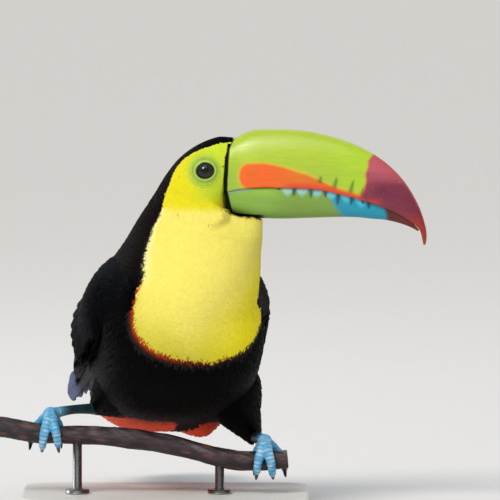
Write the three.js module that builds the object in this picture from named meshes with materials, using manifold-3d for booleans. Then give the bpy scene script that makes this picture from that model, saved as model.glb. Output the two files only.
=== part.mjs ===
// Keel-billed toucan, life size, gripping a short length of branch on a display stand.
// Millimetres, +Z up. Origin: centre of the underside of the stand's base. The bird faces -Y.
import * as THREE from 'three';
import { mergeVertices } from 'three/addons/utils/BufferGeometryUtils.js';
import Module from 'manifold-3d';

const wasm = await Module();
wasm.setup();

// ---------- driving dimensions ----------
const GAP = 0.3; // clearance between neighbouring pieces
const PERCH_Y = -18; // the perch stands in front of the base's centre, under the bird's weight
const TRUNK_YAW = 14; // degrees the trunk is turned to the bird's left
const HEAD_YAW = 84; // the head looks over the left shoulder
const TRUNK_AXIS = [11, 5]; // x, y of the upright line that the trunk's stations are measured from
const HEAD_AXIS = [23, -6];

const EYE = { radius: 7.2, forward: 5.4, height: 226.3, side: 15.6 };
const BASE = { width: 190, depth: 136, height: 12, corner: 20, bevel: 2 };
const ROD = { radius: 3, flange: 8, flangeHeight: 3, x: [-58, 36], depthInPerch: 4 };
const TAIL = { length: 156, width: 27, pairs: 5, step: 4, fan: 1.4, yaw: -5, slope: 8.5, root: [-92, -5, 73] };
const TOE_RADIUS = 3.3;
const TARSUS_RADIUS = 3.3;

const COLOURS = {
  black: 0x14130f, yellow: 0xf2e24a, beak: 0x9fcf3a, lowerBeak: 0x86c450, red: 0xc8321c,
  legBlue: 0x6fa6dc, claw: 0x3b4450, eye: 0x0c1210, bark: 0x4b352e, base: 0xe6e2d8, rod: 0x9a9a98,
};

// ---------- small tools ----------
const rad = THREE.MathUtils.degToRad;
const mix = THREE.MathUtils.lerp;
const vec = (x, y, z) => new THREE.Vector3(x, y, z);

// Catmull-Rom value of a list of equal-length rows at t from 0 to 1.
function along(rows, t) {
  const at = Math.min(Math.max(t, 0), 1) * (rows.length - 1);
  const i = Math.min(Math.floor(at), rows.length - 2);
  const f = at - i;
  const [p1, p2] = [rows[i], rows[i + 1]];
  const p0 = rows[i - 1] ?? p1.map((v, k) => 2 * v - p2[k]);
  const p3 = rows[i + 2] ?? p2.map((v, k) => 2 * v - p1[k]);
  return p1.map((v, k) => v + 0.5 * f * (p2[k] - p0[k]
    + f * (2 * p0[k] - 5 * v + 4 * p2[k] - p3[k] + f * (3 * (v - p2[k]) + p3[k] - p0[k]))));
}

// A point given by forward, side and height about an upright axis turned by yaw degrees.
function placed(axis, yaw, forward, side, height) {
  const [s, c] = [Math.sin(rad(yaw)), Math.cos(rad(yaw))];
  return vec(axis[0] + forward * s + side * c, axis[1] - forward * c + side * s, height);
}

const signedPower = (v, p) => Math.sign(v) * Math.abs(v) ** p;

// A closed surface as a solid: vertices merged, faces with no area dropped, turned to face outward.
function solid(geometry) {
  const bare = new THREE.BufferGeometry();
  const source = geometry.index ? geometry.toNonIndexed() : geometry;
  bare.setAttribute('position', source.getAttribute('position'));
  const merged = mergeVertices(bare, 1e-3);
  const points = merged.attributes.position;
  const ids = merged.index.array;
  const kept = [];
  const corner = [vec(), vec(), vec()];
  let volume = 0;
  for (let i = 0; i < ids.length; i += 3) {
    const [a, b, c] = [ids[i], ids[i + 1], ids[i + 2]];
    if (a === b || b === c || a === c) continue;
    kept.push(a, b, c);
    [a, b, c].forEach((id, k) => corner[k].fromBufferAttribute(points, id));
    volume += corner[0].dot(corner[1].clone().cross(corner[2]));
  }
  return new wasm.Manifold(new wasm.Mesh({
    numProp: 3,
    vertProperties: points.array,
    triVerts: new Uint32Array(volume < 0 ? kept.reverse() : kept),
  }));
}

// A solid through a list of rings of points; each end is closed by a strip across its ring.
function loft(rings) {
  const sides = rings[0].length;
  const faces = [];
  for (let i = 0; i + 1 < rings.length; i++) {
    for (let j = 0; j < sides; j++) {
      const [a, b] = [i * sides + j, i * sides + ((j + 1) % sides)];
      faces.push(a, b, a + sides, b, b + sides, a + sides);
    }
  }
  for (const [start, turned] of [[0, true], [(rings.length - 1) * sides, false]]) {
    const strip = [];
    for (let [i, j] = [0, sides - 1]; i + 1 < j; i++, j--) {
      strip.push(i, i + 1, j);
      if (i + 1 < j - 1) strip.push(i + 1, j - 1, j);
    }
    for (let k = 0; k < strip.length; k += 3) {
      const [a, b, c] = strip.slice(k, k + 3).map((id) => start + id);
      faces.push(a, ...(turned ? [c, b] : [b, c]));
    }
  }
  const geometry = new THREE.BufferGeometry().setFromPoints(rings.flat());
  return solid(geometry.setIndex(faces));
}

const union = (solids) => solids.reduce((a, b) => a.add(b));

// The largest body of a solid, so that slivers left by a cut are dropped.
function mainBody(made) {
  return made.decompose().reduce((a, b) => (b.volume() > a.volume() ? b : a));
}

// ---------- trunk, neck and head: one skin of rings from the vent to the bill ----------
// Each station: yaw share (0 trunk, 1 head), back forward/height, front forward/height, half width,
// how far the widest place lies towards the front, and fullness (1 an oval, less for squarer).
const BODY = [
  [0, -126, 77, -128, 66, 20, 0, 1],
  [0, -112, 88, -111, 55, 33, 0, 0.92],
  [0, -99, 100, -90, 49, 41, 0, 0.85],
  [0, -87, 112, -60, 48, 45, 0, 0.8],
  [0, -75, 126, -28, 55, 51, 0.05, 0.8],
  [0, -66, 140, 8, 65, 53.5, 0.08, 0.82],
  [0, -59, 153, 38, 83, 54.5, 0.06, 0.88],
  [0, -54, 164, 51, 106, 55, -0.04, 0.9],
  [0.12, -46, 174, 51.5, 128, 49.5, -0.06, 0.98],
  [0.4, -42, 184, 49.5, 150, 42, 0, 1],
  [0.75, -38.5, 194, 44, 169, 35, 0, 1],
  [1, -34.4, 204, 41.5, 184, 29, -0.03, 1],
  [1, -29.2, 212, 41, 194.6, 25.8, -0.12, 1],
  [1, -23.3, 221.9, 29.5, 196.2, 24.6, -0.08, 1],
  [1, -14, 233.8, 20.5, 197.5, 23.8, 0, 1],
  [1, -2.5, 242.6, 18.5, 200.5, 21.8, 0.05, 1],
  [1, 11, 248.2, 18, 203, 19, 0.1, 1],
  [1, 20, 248.4, 18.6, 206, 16.4, 0.1, 1],
];
const BODY_RINGS = 31;
const BODY_SIDES = 20;
// Undertail coverts hang lower on the left: where, how far round it, and how much.
const COVERT_LOBE = { station: 3.4, side: 29, stations: 1, sides: 12, hang: 9 };

function bodyPoint(t, angle) {
  const [share, backS, backZ, frontS, frontZ, half, lean, full] = along(BODY, t);
  const turn = Math.min(Math.max(share, 0), 1);
  const axis = [mix(TRUNK_AXIS[0], HEAD_AXIS[0], turn), mix(TRUNK_AXIS[1], HEAD_AXIS[1], turn)];
  const reach = signedPower(Math.cos(angle), full) + lean * Math.sin(angle) ** 2;
  const forward = mix(backS, frontS, 0.5 + 0.5 * reach);
  const height = mix(backZ, frontZ, 0.5 + 0.5 * reach);
  const side = half * signedPower(Math.sin(angle), 0.92 * full);
  const off = Math.hypot((t * (BODY.length - 1) - COVERT_LOBE.station) / COVERT_LOBE.stations,
    (side - COVERT_LOBE.side) / COVERT_LOBE.sides);
  const hang = COVERT_LOBE.hang * Math.exp(-off * off) * Math.max(reach, 0) ** 0.5;
  return placed(axis, mix(TRUNK_YAW, HEAD_YAW, turn), forward, side, height - hang);
}

function bodyRings() {
  return Array.from({ length: BODY_RINGS + 1 }, (_, i) => Array.from({ length: BODY_SIDES },
    (_, j) => bodyPoint(i / BODY_RINGS, (2 * Math.PI * j) / BODY_SIDES)));
}

// ---------- bill: upper and lower half, from the face to the tip ----------
// Each station: ridge (or keel) forward/height, cutting edge forward/height, half width.
const UPPER_BILL = [
  [23, 247.5, 18.7, 212.6, 15.6],
  [34, 252.3, 30, 214.9, 15.8],
  [50, 253.3, 46, 216, 15.2],
  [69, 252.3, 64, 216, 14.3],
  [89, 248.2, 81, 214.8, 13.2],
  [107, 241.4, 96, 211.6, 12],
  [123, 231.5, 110, 207.8, 10.5],
  [135.5, 219, 122, 203.5, 8.8],
  [144.5, 204, 133.5, 198, 6.4],
  [149, 191, 142, 192.2, 3.9],
  [150, 183, 145.8, 188, 2.3],
  [149.2, 178, 148, 178.6, 0.7],
];
const LOWER_BILL = [
  [20, 197.7, 18.8, 212.1, 14],
  [33, 195.6, 33, 214.7, 14.3],
  [53, 194.8, 53, 215.4, 13.6],
  [73, 195.4, 73, 215, 12.4],
  [89, 196, 89, 213, 11],
  [103, 196, 103, 209.2, 9.5],
  [114, 195, 115, 205.2, 7.9],
  [123, 194.3, 124.5, 201.3, 6.2],
  [131.5, 192.4, 133, 196.9, 4.2],
  [138.5, 190, 139.8, 192.5, 2.3],
  [144.4, 187, 145, 187.8, 0.9],
];
const BILL_RINGS = 15;
const BILL_SIDES = 7; // points from one cutting edge over the ridge to the other

// One half of the bill. Each ring rises from the cutting edge over the ridge (or under the keel).
function billHalf(stations, grow) {
  const rings = [];
  for (let i = 0; i <= BILL_RINGS; i++) {
    const [ridgeS, ridgeZ, edgeS, edgeZ, half] = along(stations, i / BILL_RINGS);
    const tall = Math.hypot(ridgeS - edgeS, ridgeZ - edgeZ);
    const back = i === 0 ? grow : 0;
    const ring = [];
    for (let j = 0; j <= BILL_SIDES + 1; j++) {
      const angle = (Math.PI * j) / (BILL_SIDES + 1);
      const rise = Math.sin(angle) ** 0.82;
      const out = (half + grow) * signedPower(Math.cos(angle), 0.72) * (1 - 0.12 * rise);
      const up = rise * (1 + grow / tall) - (grow / tall) * (1 - rise);
      ring.push(placed(HEAD_AXIS, HEAD_YAW, mix(edgeS, ridgeS, up) - back, out, mix(edgeZ, ridgeZ, up)));
    }
    rings.push(ring);
  }
  return loft(rings);
}

// ---------- eyes ----------
function eyeball(side, grow) {
  const at = placed(HEAD_AXIS, HEAD_YAW, EYE.forward, side * EYE.side, EYE.height);
  return solid(new THREE.SphereGeometry(EYE.radius + grow, 12, 8).translate(at.x, at.y, at.z));
}

// ---------- feathers: a thin blade along a line, arched across, with a rounded tip ----------
const BLADE_EDGE = 0.3; // half the thickness at the blade's two edges
const BLADE_STEPS = 3;
const BLADE_SECTION = [[-1, 1], [0, 1], [1, 1], [1, -1], [0, -1], [-1, -1]];

function blade({ root, tip, out, width, thick, grow, bow }) {
  const line = tip.clone().sub(root);
  const length = line.length();
  const dir = line.normalize();
  const across = dir.clone().cross(out).normalize();
  const face = across.clone().cross(dir).normalize();
  const rings = [];
  for (let i = 0; i <= BLADE_STEPS; i++) {
    const t = i / BLADE_STEPS;
    const taper = 0.72 + 0.28 * Math.sin(Math.min(t / 0.5, 1) * (Math.PI / 2));
    const half = (width / 2) * taper * Math.sqrt(Math.max(1 - Math.max(0, (t - 0.8) / 0.2) ** 2, 0.04));
    const end = (i === 0 ? -grow : 0) + (i === BLADE_STEPS ? grow : 0);
    const centre = root.clone().addScaledVector(dir, t * length + end).addScaledVector(face, -bow * t * t);
    rings.push(BLADE_SECTION.map(([u, w]) => centre.clone().addScaledVector(across, u * (half + grow))
      .addScaledVector(face, w * ((u === 0 ? thick / 2 : BLADE_EDGE) + grow) - Math.abs(u) * half * 0.1)));
  }
  return loft(rings);
}

// ---------- tail ----------
function tail(grow) {
  const root = placed(TRUNK_AXIS, TRUNK_YAW, ...TAIL.root);
  const up = vec(0, 0, 1);
  const blades = [];
  for (let i = -TAIL.pairs; i <= TAIL.pairs; i++) {
    if (i === 0) continue;
    const rank = Math.abs(i) - 0.5;
    const angle = rad(TAIL.yaw + Math.sign(i) * rank * TAIL.fan);
    const slope = rad(TAIL.slope);
    const reach = TAIL.length - rank * rank * 0.75;
    const dir = vec(-Math.sin(angle) * Math.cos(slope), Math.cos(angle) * Math.cos(slope), -Math.sin(slope));
    const start = root.clone().add(vec(-Math.sign(i) * rank * TAIL.step * 0.55, 0, -rank * 1.1 - (i < 0 ? 0.4 : 0)));
    blades.push(blade({
      root: start, tip: start.clone().addScaledVector(dir, reach), out: up,
      width: TAIL.width, thick: 1.8, grow, bow: 3,
    }));
  }
  return union(blades);
}

// ---------- wings: a cupped body of coverts, with the flight feathers' tips behind it ----------
// Each station: forward, side, height, upper half height, lower half height, thickness.
const WING = [
  [32, 40, 142, 6, 7, 5],
  [18, 44.5, 143, 18, 17, 9],
  [-12, 55.5, 143, 32, 27, 11],
  [-50, 55, 122, 29, 27, 10],
  [-88, 43.5, 104, 20, 19, 6],
  [-118, 35.5, 90, 12, 12, 3.5],
];
const WING_TIP = [-168, 45.5, 66];
// The flight feathers narrow, sink and turn to face forward from the uppermost to the wing's tip.
const FLIGHT = { count: 6, thick: 1.6, width: [25, 17], sink: 6, turn: 1.7 };

function wingFrame(side, t) {
  const row = along(WING, t);
  const next = along(WING, Math.min(t + 0.02, 1));
  const last = along(WING, Math.max(t - 0.02, 0));
  const at = (r) => placed(TRUNK_AXIS, TRUNK_YAW, r[0], side * r[1], r[2]);
  const dir = at(next).sub(at(last)).normalize();
  const lift = mix(0.1, 0.75, t);
  const out = placed([0, 0], TRUNK_YAW, 0.15, side, lift).normalize();
  const up = out.clone().cross(dir).normalize();
  if (up.z < 0) up.negate();
  const face = dir.clone().cross(up).normalize();
  if (face.dot(out) < 0) face.negate();
  return { centre: at(row), dir, up, face, row };
}

function wingBody(side, grow) {
  const rings = [];
  const steps = 8;
  for (let i = 0; i <= steps; i++) {
    const { centre, dir, up, face, row } = wingFrame(side, i / steps);
    const [, , , upper, lower, thick] = row;
    const end = (i === 0 ? -grow : 0) + (i === steps ? grow : 0);
    const ring = [];
    for (let j = 0; j < 10; j++) {
      const angle = (2 * Math.PI * j) / 10;
      const high = Math.cos(angle) * ((Math.cos(angle) > 0 ? upper : lower) + grow);
      const deep = signedPower(Math.sin(angle), 0.8) * (thick / 2 + grow);
      ring.push(centre.clone().addScaledVector(dir, end).addScaledVector(up, high)
        .addScaledVector(face, deep - (high * high) / 110));
    }
    rings.push(ring);
  }
  return loft(rings);
}

function wing(side, grow) {
  const pieces = [wingBody(side, grow)];
  const tip = placed(TRUNK_AXIS, TRUNK_YAW, WING_TIP[0], side * WING_TIP[1], WING_TIP[2]);
  for (let j = 0; j < FLIGHT.count; j++) {
    const share = j / (FLIGHT.count - 1);
    const start = wingFrame(side, mix(0.5, 0.72, share));
    const end = wingFrame(side, 1);
    const root = start.centre.clone().addScaledVector(start.up, mix(17, -10, share))
      .addScaledVector(start.face, -FLIGHT.sink * share);
    const reach = end.centre.clone().addScaledVector(end.up, mix(20, -6, share))
      .lerp(tip, share ** 0.8 * 0.98).addScaledVector(end.face, -2.2 * share);
    pieces.push(blade({
      root, tip: reach, out: end.face.clone().add(vec(0, -FLIGHT.turn * share, 0)),
      width: mix(...FLIGHT.width, share), thick: FLIGHT.thick, grow, bow: 2,
    }));
  }
  return union(pieces);
}

// ---------- perch ----------
// Each station: x, z of the middle, radius. The ends are sawn square.
const PERCH = [
  [-117, 57.5, 6.9], [-100, 54.8, 6.8], [-84, 52.2, 6.4], [-66, 51.2, 6], [-44, 50.4, 6.2],
  [-22, 48.6, 6.7], [-2, 45.6, 6.5], [16, 41.2, 6.2], [34, 36.8, 6.1], [50, 34, 6.7],
  [66, 33.6, 6.2], [81, 35, 6],
];
const PERCH_RINGS = 16;
const PERCH_SIDES = 9;

function perchAt(x) {
  let [low, high] = [0, 1];
  for (let i = 0; i < 30; i++) {
    const middle = (low + high) / 2;
    if (along(PERCH, middle)[0] < x) low = middle; else high = middle;
  }
  const [, z, radius] = along(PERCH, low);
  return { z, radius };
}

function perch() {
  const rings = [];
  for (let i = 0; i <= PERCH_RINGS; i++) {
    const t = i / PERCH_RINGS;
    const [x, z, radius] = along(PERCH, t);
    const [nx, nz] = along(PERCH, t + 0.01);
    const [lx, lz] = along(PERCH, t - 0.01);
    const lean = Math.atan2(nz - lz, nx - lx);
    rings.push(Array.from({ length: PERCH_SIDES }, (_, j) => {
      const angle = (2 * Math.PI * j) / PERCH_SIDES;
      const r = radius * (1 + 0.035 * Math.sin(3 * angle + x / 9) + 0.025 * Math.sin(x / 5 + 2 * angle));
      return vec(x - Math.sin(lean) * r * Math.cos(angle), r * Math.sin(angle), z + Math.cos(lean) * r * Math.cos(angle));
    }));
  }
  return loft(rings);
}

// ---------- legs ----------
// A round solid along a smooth line through points, with a radius at each.
function limb(points, radii, sides, rings, grow = 0) {
  const curve = new THREE.CatmullRomCurve3(points);
  const made = [];
  let across = null;
  for (let i = 0; i <= rings; i++) {
    const t = i / rings;
    const dir = curve.getTangent(t);
    if (!across) across = Math.abs(dir.z) > 0.9 ? vec(1, 0, 0) : vec(0, 0, 1);
    across = across.clone().addScaledVector(dir, -across.dot(dir)).normalize();
    const other = dir.clone().cross(across);
    const [radius] = along(radii.map((r) => [r]), t);
    const end = (i === 0 ? -grow : 0) + (i === rings ? grow : 0);
    const centre = curve.getPoint(t).addScaledVector(dir, end);
    made.push(Array.from({ length: sides }, (_, j) => {
      const angle = (2 * Math.PI * j) / sides;
      return centre.clone().addScaledVector(across, Math.cos(angle) * (radius + grow))
        .addScaledVector(other, Math.sin(angle) * (radius + grow));
    }));
  }
  return loft(made);
}

// A tapering solid whose rings all face along the line from top to end; its middle is carried aside by bulge.
function drumstick(top, end, bulge, radii, grow = 0) {
  const dir = end.clone().sub(top).normalize();
  const across = vec(0, 1, 0).addScaledVector(dir, -dir.y).normalize();
  const other = dir.clone().cross(across);
  const [sides, steps] = [10, 6];
  const rings = [];
  for (let i = 0; i <= steps; i++) {
    const t = i / steps;
    const [radius] = along(radii.map((r) => [r]), t);
    const centre = top.clone().lerp(end, t).addScaledVector(bulge, Math.sin(Math.PI * t))
      .addScaledVector(dir, (i === 0 ? -grow : 0) + (i === steps ? grow : 0));
    rings.push(Array.from({ length: sides }, (_, j) => {
      const angle = (2 * Math.PI * j) / sides;
      return centre.clone().addScaledVector(across, Math.cos(angle) * (radius + 1.4 * grow))
        .addScaledVector(other, Math.sin(angle) * (radius + 1.4 * grow));
    }));
  }
  return loft(rings);
}

// Each leg: which side, where the foot grips, the heel, and where the thigh leaves the trunk.
const LEGS = {
  right: { side: -1, gripX: -76, heel: [-46, 31, 66], hip: [-10, 26, 98], bulge: [-4, -3, -5] },
  left: { side: 1, gripX: 66, heel: [58, 38, 47], hip: [33, 20, 104], bulge: [-1, -4, -2] },
};
const THIGH_RADII = [17, 22.5, 21, 13.5, 6.5];
const HUB_RISE = 13.4; // the foot's hub above the middle of the perch
// Toes, as forward/up places round the perch and how far each splays along it.
const TOES = [
  { name: 'inner', back: false, splay: [0, 2.2, 4, 5, 5.4], reach: 1 },
  { name: 'middle', back: false, splay: [0, -1.8, -3.6, -4.6, -5], reach: 1.12 },
  { name: 'outer', back: true, splay: [0, -5, -10, -12.5, -13], reach: 1 },
  { name: 'hind', back: true, splay: [0, 3, 5.5, 6.5, 6.8], reach: 0.8 },
];
const TOE_ANGLES = [4, 40, 76, 108, 136]; // degrees round the perch from the top

function legPieces(name) {
  const { side, gripX, heel, hip, bulge } = LEGS[name];
  const { z, radius } = perchAt(gripX);
  const hub = vec(gripX, 1, z + HUB_RISE);
  const heelAt = vec(...heel);
  const made = {};
  const thigh = (grow) => drumstick(vec(...hip), heelAt, vec(...bulge), THIGH_RADII, grow);
  const tarsusLine = [heelAt, heelAt.clone().lerp(hub, 0.5).add(vec(0, 0, 1)), hub];
  const tarsusSize = [TARSUS_RADIUS + 0.6, TARSUS_RADIUS - 0.2, TARSUS_RADIUS + 0.6];
  const tarsus = (grow) => limb(tarsusLine, tarsusSize, 8, 4, grow);
  const toes = TOES.map((toe) => {
    const path = TOE_ANGLES.map((degrees, i) => {
      const angle = rad(degrees * (i > 0 ? toe.reach : 1)) * (toe.back ? -1 : 1);
      const far = mix(HUB_RISE, radius + TOE_RADIUS * 0.86 + 0.9, Math.min(i / 1.6, 1));
      const x = gripX - side * toe.splay[i];
      const below = perchAt(x);
      return vec(x, -far * Math.sin(angle), below.z + far * Math.cos(angle));
    });
    return { toe, path };
  });
  const foot = union([
    solid(new THREE.SphereGeometry(4.4, 7, 5).translate(hub.x, hub.y, hub.z)),
    ...toes.map(({ path }) => limb(path, [TOE_RADIUS + 0.3, TOE_RADIUS, TOE_RADIUS * 0.86, TOE_RADIUS * 0.72], 6, 5)),
  ]);
  made[`thigh_${name}`] = { body: thigh(0).subtract(tarsus(GAP)), colour: 'black' };
  made[`tarsus_${name}`] = { body: tarsus(0), colour: 'legBlue' };
  made[`foot_${name}`] = { body: foot.subtract(tarsus(GAP)), colour: 'legBlue' };
  for (const { toe, path } of toes) {
    const [before, end] = path.slice(-2);
    const dir = end.clone().sub(before).normalize();
    const inward = vec(0, -end.y, perchAt(end.x).z - end.z).normalize();
    const start = end.clone().addScaledVector(dir, GAP);
    const claw = limb([
      start,
      start.clone().addScaledVector(dir, 4).addScaledVector(inward, 0.3),
      start.clone().addScaledVector(dir, 7.6).addScaledVector(inward, 2.2),
    ], [1.9, 1.3, 0.35], 6, 3);
    made[`claw_${name}_${toe.name}`] = { body: claw, colour: 'claw' };
  }
  return { made, thighCutter: thigh(GAP) };
}

// ---------- stand ----------
function rodSolid(x, grow = 0) {
  const top = perchAt(x).z - perchAt(x).radius + ROD.depthInPerch + grow;
  const foot = BASE.height + GAP;
  const r = ROD.radius + grow;
  const profile = [
    [0, foot], [ROD.flange - 1, foot], [ROD.flange, foot + 1], [ROD.flange, foot + ROD.flangeHeight - 1],
    [ROD.flange - 1, foot + ROD.flangeHeight], [r, foot + ROD.flangeHeight], [r, top], [0, top],
  ].map(([a, b]) => new THREE.Vector2(a, b));
  const turned = new THREE.LatheGeometry(profile, 10).rotateX(Math.PI / 2);
  return solid(turned.translate(x, 0, 0));
}

function baseGeometry() {
  const { width, depth, height, corner, bevel } = BASE;
  const [w, d, r] = [width / 2 - bevel, depth / 2 - bevel, corner - bevel];
  const shape = new THREE.Shape();
  shape.moveTo(-w + r, -d).lineTo(w - r, -d).absarc(w - r, -d + r, r, -Math.PI / 2, 0, false)
    .lineTo(w, d - r).absarc(w - r, d - r, r, 0, Math.PI / 2, false)
    .lineTo(-w + r, d).absarc(-w + r, d - r, r, Math.PI / 2, Math.PI, false)
    .lineTo(-w, -d + r).absarc(-w + r, -d + r, r, Math.PI, 1.5 * Math.PI, false);
  return new THREE.ExtrudeGeometry(shape, {
    depth: height - 2 * bevel, bevelThickness: bevel, bevelSize: bevel, bevelSegments: 1, curveSegments: 3,
  }).translate(0, 0, bevel);
}

// ---------- assembly ----------
function meshOf(name, body, colour) {
  const { vertProperties, triVerts, numProp, numVert } = body.getMesh();
  const places = new Float32Array(numVert * 3);
  for (let i = 0; i < numVert; i++) places.set(vertProperties.subarray(i * numProp, i * numProp + 3), i * 3);
  const geometry = new THREE.BufferGeometry();
  geometry.setAttribute('position', new THREE.BufferAttribute(places, 3));
  geometry.setIndex(new THREE.BufferAttribute(triVerts, 1));
  geometry.computeVertexNormals();
  const material = new THREE.MeshStandardMaterial({ color: COLOURS[colour], roughness: 0.6, metalness: 0 });
  const mesh = new THREE.Mesh(geometry, material);
  mesh.name = name;
  return mesh;
}

// The body's skin, parted at the neck's two ends by thin flat cuts.
const NECK_LOW = { station: 8.6, name: 'shoulders' };
const NECK_HIGH = { station: 11.5, name: 'nape' };

function cutPlane(station) {
  const t = station / (BODY.length - 1);
  const [back, front, left] = [Math.PI, 0, Math.PI / 2].map((a) => bodyPoint(t, a));
  const normal = front.clone().sub(back).cross(left.clone().sub(back)).normalize();
  if (normal.z < 0) normal.negate();
  return { normal, offset: normal.dot(back.clone().add(front).multiplyScalar(0.5)) };
}

function split(body, { normal, offset }) {
  const up = [normal.x, normal.y, normal.z];
  const down = up.map((v) => -v);
  return [body.trimByPlane(up, offset + GAP / 2), body.trimByPlane(down, -offset + GAP / 2)];
}

const bird = new THREE.Group();
bird.position.set(0, PERCH_Y, 0);

const legs = { right: legPieces('right'), left: legPieces('left') };
let skin = loft(bodyRings());
for (const cutter of [
  billHalf(UPPER_BILL, GAP), billHalf(LOWER_BILL, GAP), eyeball(-1, GAP), eyeball(1, GAP),
  tail(GAP), wing(-1, GAP), wing(1, GAP), legs.right.thighCutter, legs.left.thighCutter,
]) skin = skin.subtract(cutter);
const [aboveShoulders, trunk] = split(skin, cutPlane(NECK_LOW.station));
const [head, neck] = split(aboveShoulders, cutPlane(NECK_HIGH.station));

const pieces = {
  head: [head, 'yellow'], neck: [neck, 'yellow'], trunk: [trunk, 'black'],
  bill_upper: [billHalf(UPPER_BILL, 0), 'beak'], bill_lower: [billHalf(LOWER_BILL, 0), 'lowerBeak'],
  eye_right: [eyeball(-1, 0), 'eye'], eye_left: [eyeball(1, 0), 'eye'],
  tail: [tail(0), 'black'], wing_right: [wing(-1, 0), 'black'], wing_left: [wing(1, 0), 'black'],
};
for (const { made } of Object.values(legs)) {
  for (const [name, { body, colour }] of Object.entries(made)) pieces[name] = [body, colour];
}
pieces.perch = [ROD.x.reduce((body, x) => body.subtract(rodSolid(x, GAP)), perch()), 'bark'];
pieces.stand_rod_right = [rodSolid(ROD.x[0]), 'rod'];
pieces.stand_rod_left = [rodSolid(ROD.x[1]), 'rod'];
for (const [name, [body, colour]] of Object.entries(pieces)) bird.add(meshOf(name, mainBody(body), colour));

const toucan = new THREE.Group();
toucan.add(bird);
toucan.add(meshOf('stand_base', solid(baseGeometry()), 'base'));

export default toucan;
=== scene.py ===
"""Keel-billed toucan gripping a cut branch, on a plain display stand.

Lengths are in millimetres until a mesh is made, where MM turns them into metres. The frame is the
frame of the solids: +Z up, the breast towards -Y, the bill along +X, the origin under the base.
"""

from __future__ import annotations

import logging
import math
from dataclasses import dataclass, field
from enum import Enum
from typing import Callable, Sequence

import bpy
import numpy as np
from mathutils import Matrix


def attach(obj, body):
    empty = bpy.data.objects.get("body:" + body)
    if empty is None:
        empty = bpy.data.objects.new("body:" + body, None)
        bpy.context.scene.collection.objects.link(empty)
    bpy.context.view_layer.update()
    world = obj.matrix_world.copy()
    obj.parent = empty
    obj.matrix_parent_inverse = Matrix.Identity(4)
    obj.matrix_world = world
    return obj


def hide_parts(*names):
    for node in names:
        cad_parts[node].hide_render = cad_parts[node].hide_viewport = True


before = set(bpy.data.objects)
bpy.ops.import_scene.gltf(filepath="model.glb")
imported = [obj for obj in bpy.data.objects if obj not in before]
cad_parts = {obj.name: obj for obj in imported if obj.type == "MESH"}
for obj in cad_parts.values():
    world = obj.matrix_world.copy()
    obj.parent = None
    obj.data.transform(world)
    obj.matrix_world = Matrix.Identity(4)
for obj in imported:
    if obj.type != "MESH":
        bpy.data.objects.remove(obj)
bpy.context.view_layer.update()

MM = 0.001
SEED = 7
BAKE_SIZE = 0.003  # side of one vane's patch in the bake map
BODY = "root"
Array = np.ndarray
Pair = tuple[float, float]
Triple = tuple[float, float, float]
Rows = tuple[tuple[float, ...], ...]
Material, Object, Socket, Tree = bpy.types.Material, bpy.types.Object, bpy.types.NodeSocket, bpy.types.NodeTree
log = logging.getLogger("toucan")


# ---------------------------------------------------------------- numbers and curves
def linear(code: str) -> Array:
    """Turn six hex digits of sRGB into three linear values."""
    value = np.array([int(code[i : i + 2], 16) / 255 for i in (0, 2, 4)])
    return np.where(value <= 0.04045, value / 12.92, ((value + 0.055) / 1.055) ** 2.4)


def smooth(low: float, high: float, value: Array) -> Array:
    """Ease from 0 at low to 1 at high, as 3x^2 - 2x^3."""
    part = np.clip((value - low) / (high - low), 0, 1)
    return part * part * (3 - 2 * part)


def bell(place: float, width: float, value: Array) -> Array:
    """1 at a place, falling off to both sides: e to the minus square of the distance in widths."""
    return np.exp(-(((value - place) / width) ** 2))


def blend(first: Array, second: Array, share: Array) -> Array:
    """Mix two colours by a share that has one dimension less."""
    return first + (second - first) * np.asarray(share)[..., None]


def layered(colour: Array, *layers: tuple[str, Array]) -> Array:
    """Lay hex colours over a linear colour one after another, each by its share."""
    for code, share in layers:
        colour = blend(colour, linear(code), share)
    return colour


def ramp(value: Array, *stops: tuple[float, str]) -> Array:
    """Read linear colours between hex colours that stand at rising values."""
    places, colours = [place for place, _ in stops], np.array([linear(code) for _, code in stops])
    return np.stack([np.interp(value, places, colours[:, k]) for k in range(3)], -1)


def signed_power(value: Array, power: float | Array) -> Array:
    """Raise to a power and keep the sign, which makes a round section squarer below 1."""
    return np.sign(value) * np.abs(value) ** power


def unit(vector: Array) -> Array:
    """Scale vectors to length 1."""
    return vector / np.maximum(np.linalg.norm(vector, axis=-1, keepdims=True), 1e-9)


def vectors(*parts: Array | float) -> Array:
    """Join values into vectors along a new last dimension."""
    return np.stack(np.broadcast_arrays(*parts), -1)


def circle(count: int, start: float = 0.0) -> Array:
    """Angles of so many places evenly round a full turn."""
    return np.linspace(start, start + 2 * np.pi, count, endpoint=False)


def lattice(rows: int, columns: int) -> tuple[Array, Array]:
    """A grid of u from 0 to 1 and v round a full turn from the back."""
    return np.meshgrid(np.linspace(0, 1, rows), circle(columns, -np.pi), indexing="ij")


def catmull(rows: Array, at: Array) -> Array:
    """Read a smooth curve through rows of numbers.

    Between two rows it is the Catmull-Rom cubic of the four nearest; past the ends the outer rows
    are mirrored.

    Args:
        rows: One row of numbers for each station.
        at: Places from 0 to 1, of any shape.

    Returns:
        The curve's rows, with the shape of at and one more dimension.
    """
    rows = np.asarray(rows, float)
    count = len(rows)
    place = np.clip(at, 0, 1) * (count - 1)
    i = np.minimum(place.astype(int), count - 2)
    f = (place - i)[..., None]
    p1, p2 = rows[i], rows[i + 1]
    p0 = np.where((i > 0)[..., None], rows[np.maximum(i - 1, 0)], 2 * p1 - p2)
    p3 = np.where((i < count - 2)[..., None], rows[np.minimum(i + 2, count - 1)], 2 * p2 - p1)
    return p1 + 0.5 * f * (p2 - p0 + f * (2 * p0 - 5 * p1 + 4 * p2 - p3 + f * (3 * (p1 - p2) + p3 - p0)))


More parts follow.
